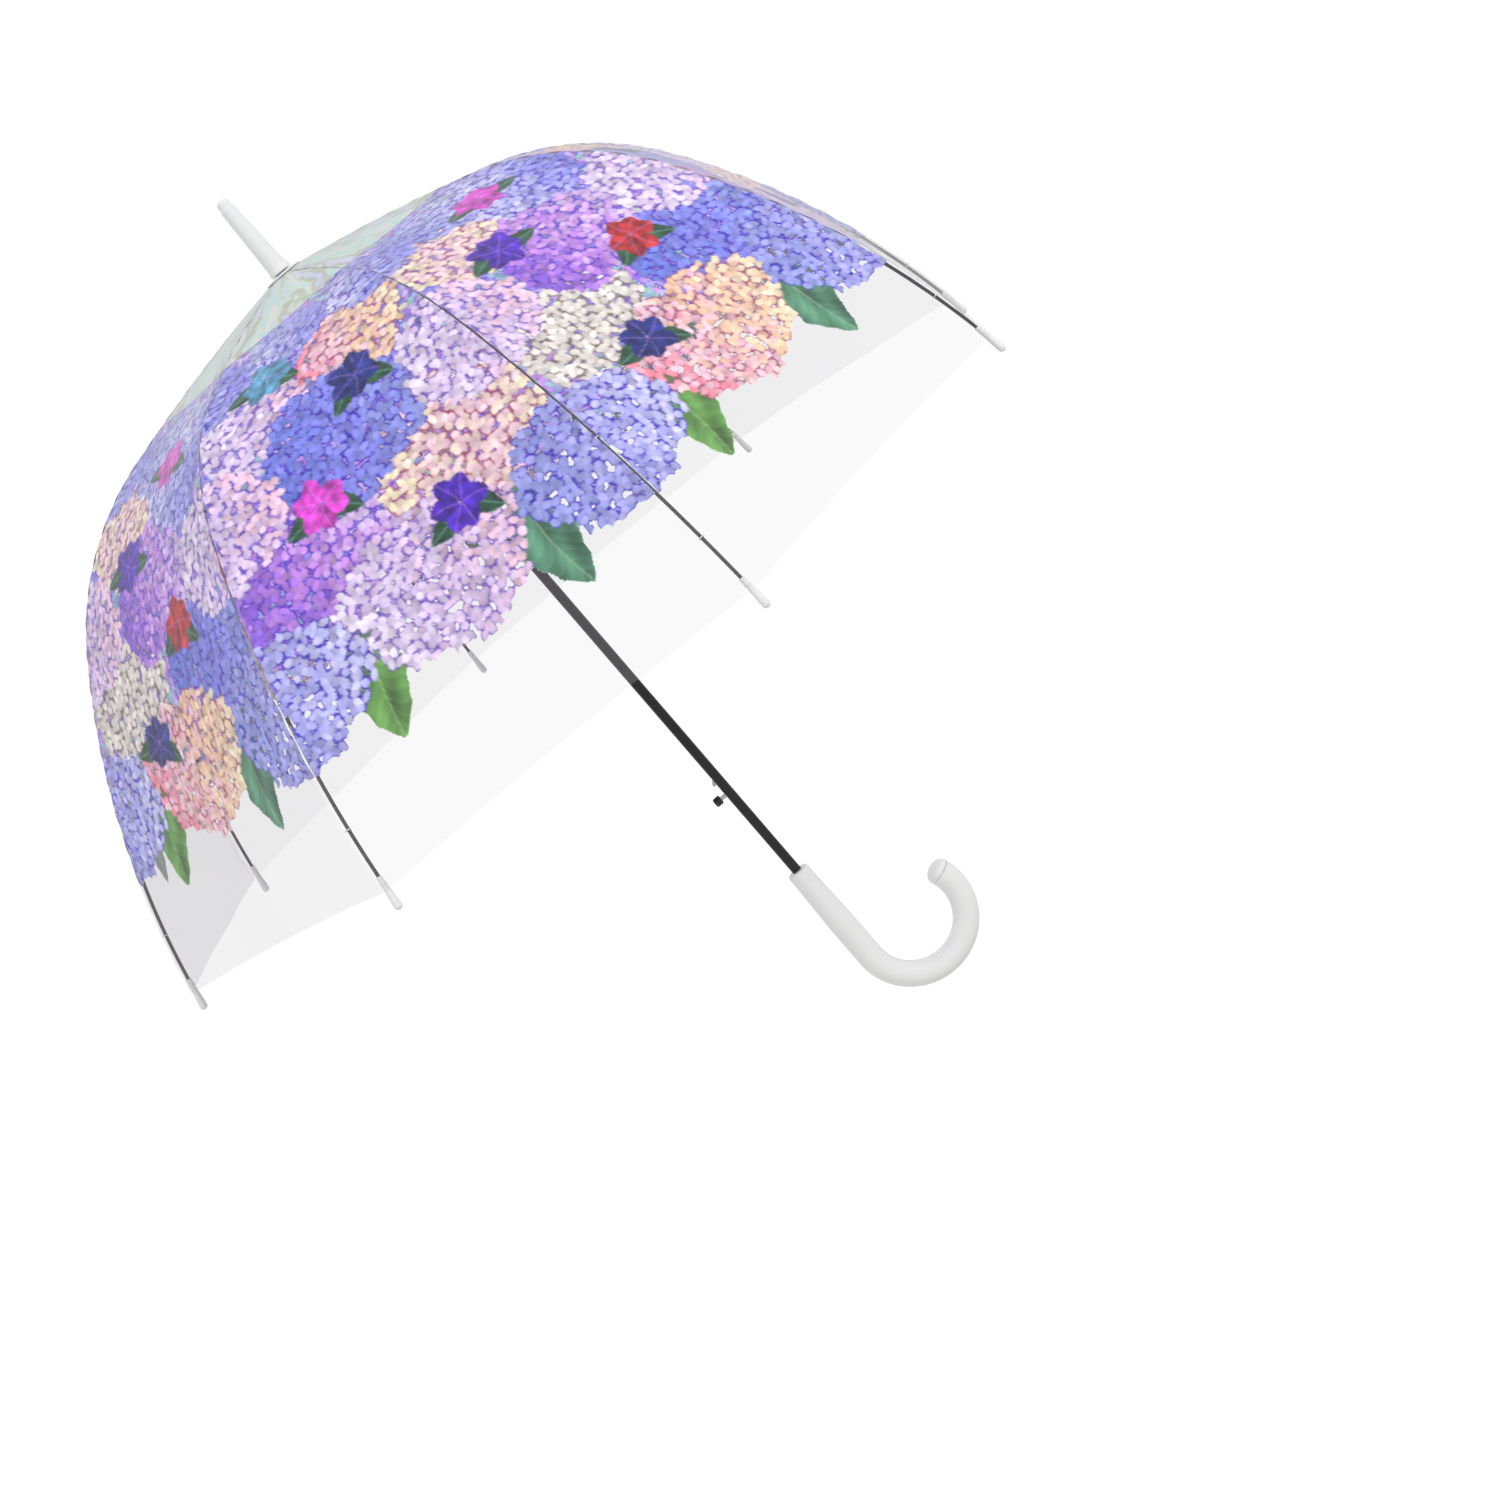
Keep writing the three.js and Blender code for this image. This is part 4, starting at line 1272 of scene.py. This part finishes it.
def makeEndCap():
    wide = grip["radius"]
    outline = [(0, -0.0085), (0.005, -0.0085), (0.005, 0.00025), (wide - 0.0002, 0.00025),
               (wide, 0.0005)]
    for i in range(1, 13):
        a = math.pi / 2 * i / 12
        outline.append((wide * math.cos(a) if i < 12 else 0, 0.0015 + 0.0074 * math.sin(a)))
    obj = turned("handle_cap", outline, handleWhite, 48)
    turn = Matrix.Rotation(math.pi - grip["sweep"], 4, "Y")
    obj.data.transform(Matrix.Translation(hookPoint(1)) @ turn)
    obj.data.set_sharp_from_angle(angle=0.9)
    finishPiece(obj, "frame", "handle_white", "handle_end_cap")


makeHandle()
makeEndCap()
print("handle made")

view = {
    "target": (0.0339, 0.0, 0.1447),
    "distance": 2.2967,
    "elevation": math.radians(10.77),
    "roll": math.radians(-40.6),
    "lens": 69.98,
}


def makeCamera():
    data = bpy.data.cameras.new("camera")
    data.lens = view["lens"]
    data.sensor_width = 36
    obj = shown("camera", data)
    e = view["elevation"]
    back = Vector((0, -math.cos(e), math.sin(e)))
    right = Vector((1, 0, 0))
    up = back.cross(right)
    spin = Matrix.Rotation(view["roll"], 3, back)
    right, up = spin @ right, spin @ up
    turn = Matrix((right, up, back)).transposed().to_4x4()
    obj.matrix_world = Matrix.Translation(Vector(view["target"]) + back * view["distance"]) @ turn
    bpy.context.scene.camera = obj


def areaLight(name, place, size, power):
    data = bpy.data.lights.new(name, "AREA")
    data.size = size
    data.energy = power
    obj = shown(name, data)
    obj.visible_glossy = False   # a clear film would mirror it as a hard white patch
    obj.location = place
    away = Vector(place) - Vector(studio["aim"])
    obj.rotation_euler = away.to_track_quat("Z", "Y").to_euler()


# the backdrop is white to the eye and lights the object more softly
def makeWorld():
    world = bpy.data.worlds.new("studio")
    world.use_nodes = True
    tree = world.node_tree
    back = tree.nodes["Background"]
    back.inputs["Color"].default_value = (1, 1, 1, 1)
    path = tree.nodes.new("ShaderNodeLightPath")
    strength = addRamp(tree, path.outputs["Is Camera Ray"], studio["ambient"], 1.0, 0, 1)
    tree.links.new(strength, back.inputs["Strength"])
    bpy.context.scene.world = world


studio = {
    "ambient": 0.66,
    "aim": (0, 0, 0.3),
    # place, size and power
    "lights": {
        "key": ((1.9, -1.5, 1.7), 1.3, 34),
        "fill": ((-1.6, -1.4, 1.2), 1.6, 10),
        "back": ((-0.9, 2.2, 1.5), 1.6, 22),
    },
    "floorHeight": -0.4, "floorReach": 9, "glow": 0.8,
}


def makeStudio():
    bpy.context.scene.view_settings.view_transform = "Standard"
    makeWorld()
    for name, light in studio["lights"].items():
        areaLight(name, *light)
    mat, tree, node = shader("floorPale", Base_Color=(0.3, 0.3, 0.3, 1), Roughness=0.9)
    noise = addNoise(tree, 3.0)
    tree.links.new(addRamp(tree, noise.outputs["Fac"], 0.85, 0.95), node.inputs["Roughness"])
    node.inputs["Specular IOR Level"].default_value = 0
    node.inputs["Emission Color"].default_value = (1, 1, 1, 1)
    node.inputs["Emission Strength"].default_value = studio["glow"]
    reach, height = studio["floorReach"], studio["floorHeight"]
    signs = ((-1, -1), (1, -1), (1, 1), (-1, 1))
    corners = [(x * reach, y * reach, height) for x, y in signs]
    floor = meshObject("floor", corners, [(0, 1, 2, 3)], mat)
    floor.visible_diffuse = False
    floor.visible_glossy = False


makeCamera()
makeStudio()
print("scene finished")
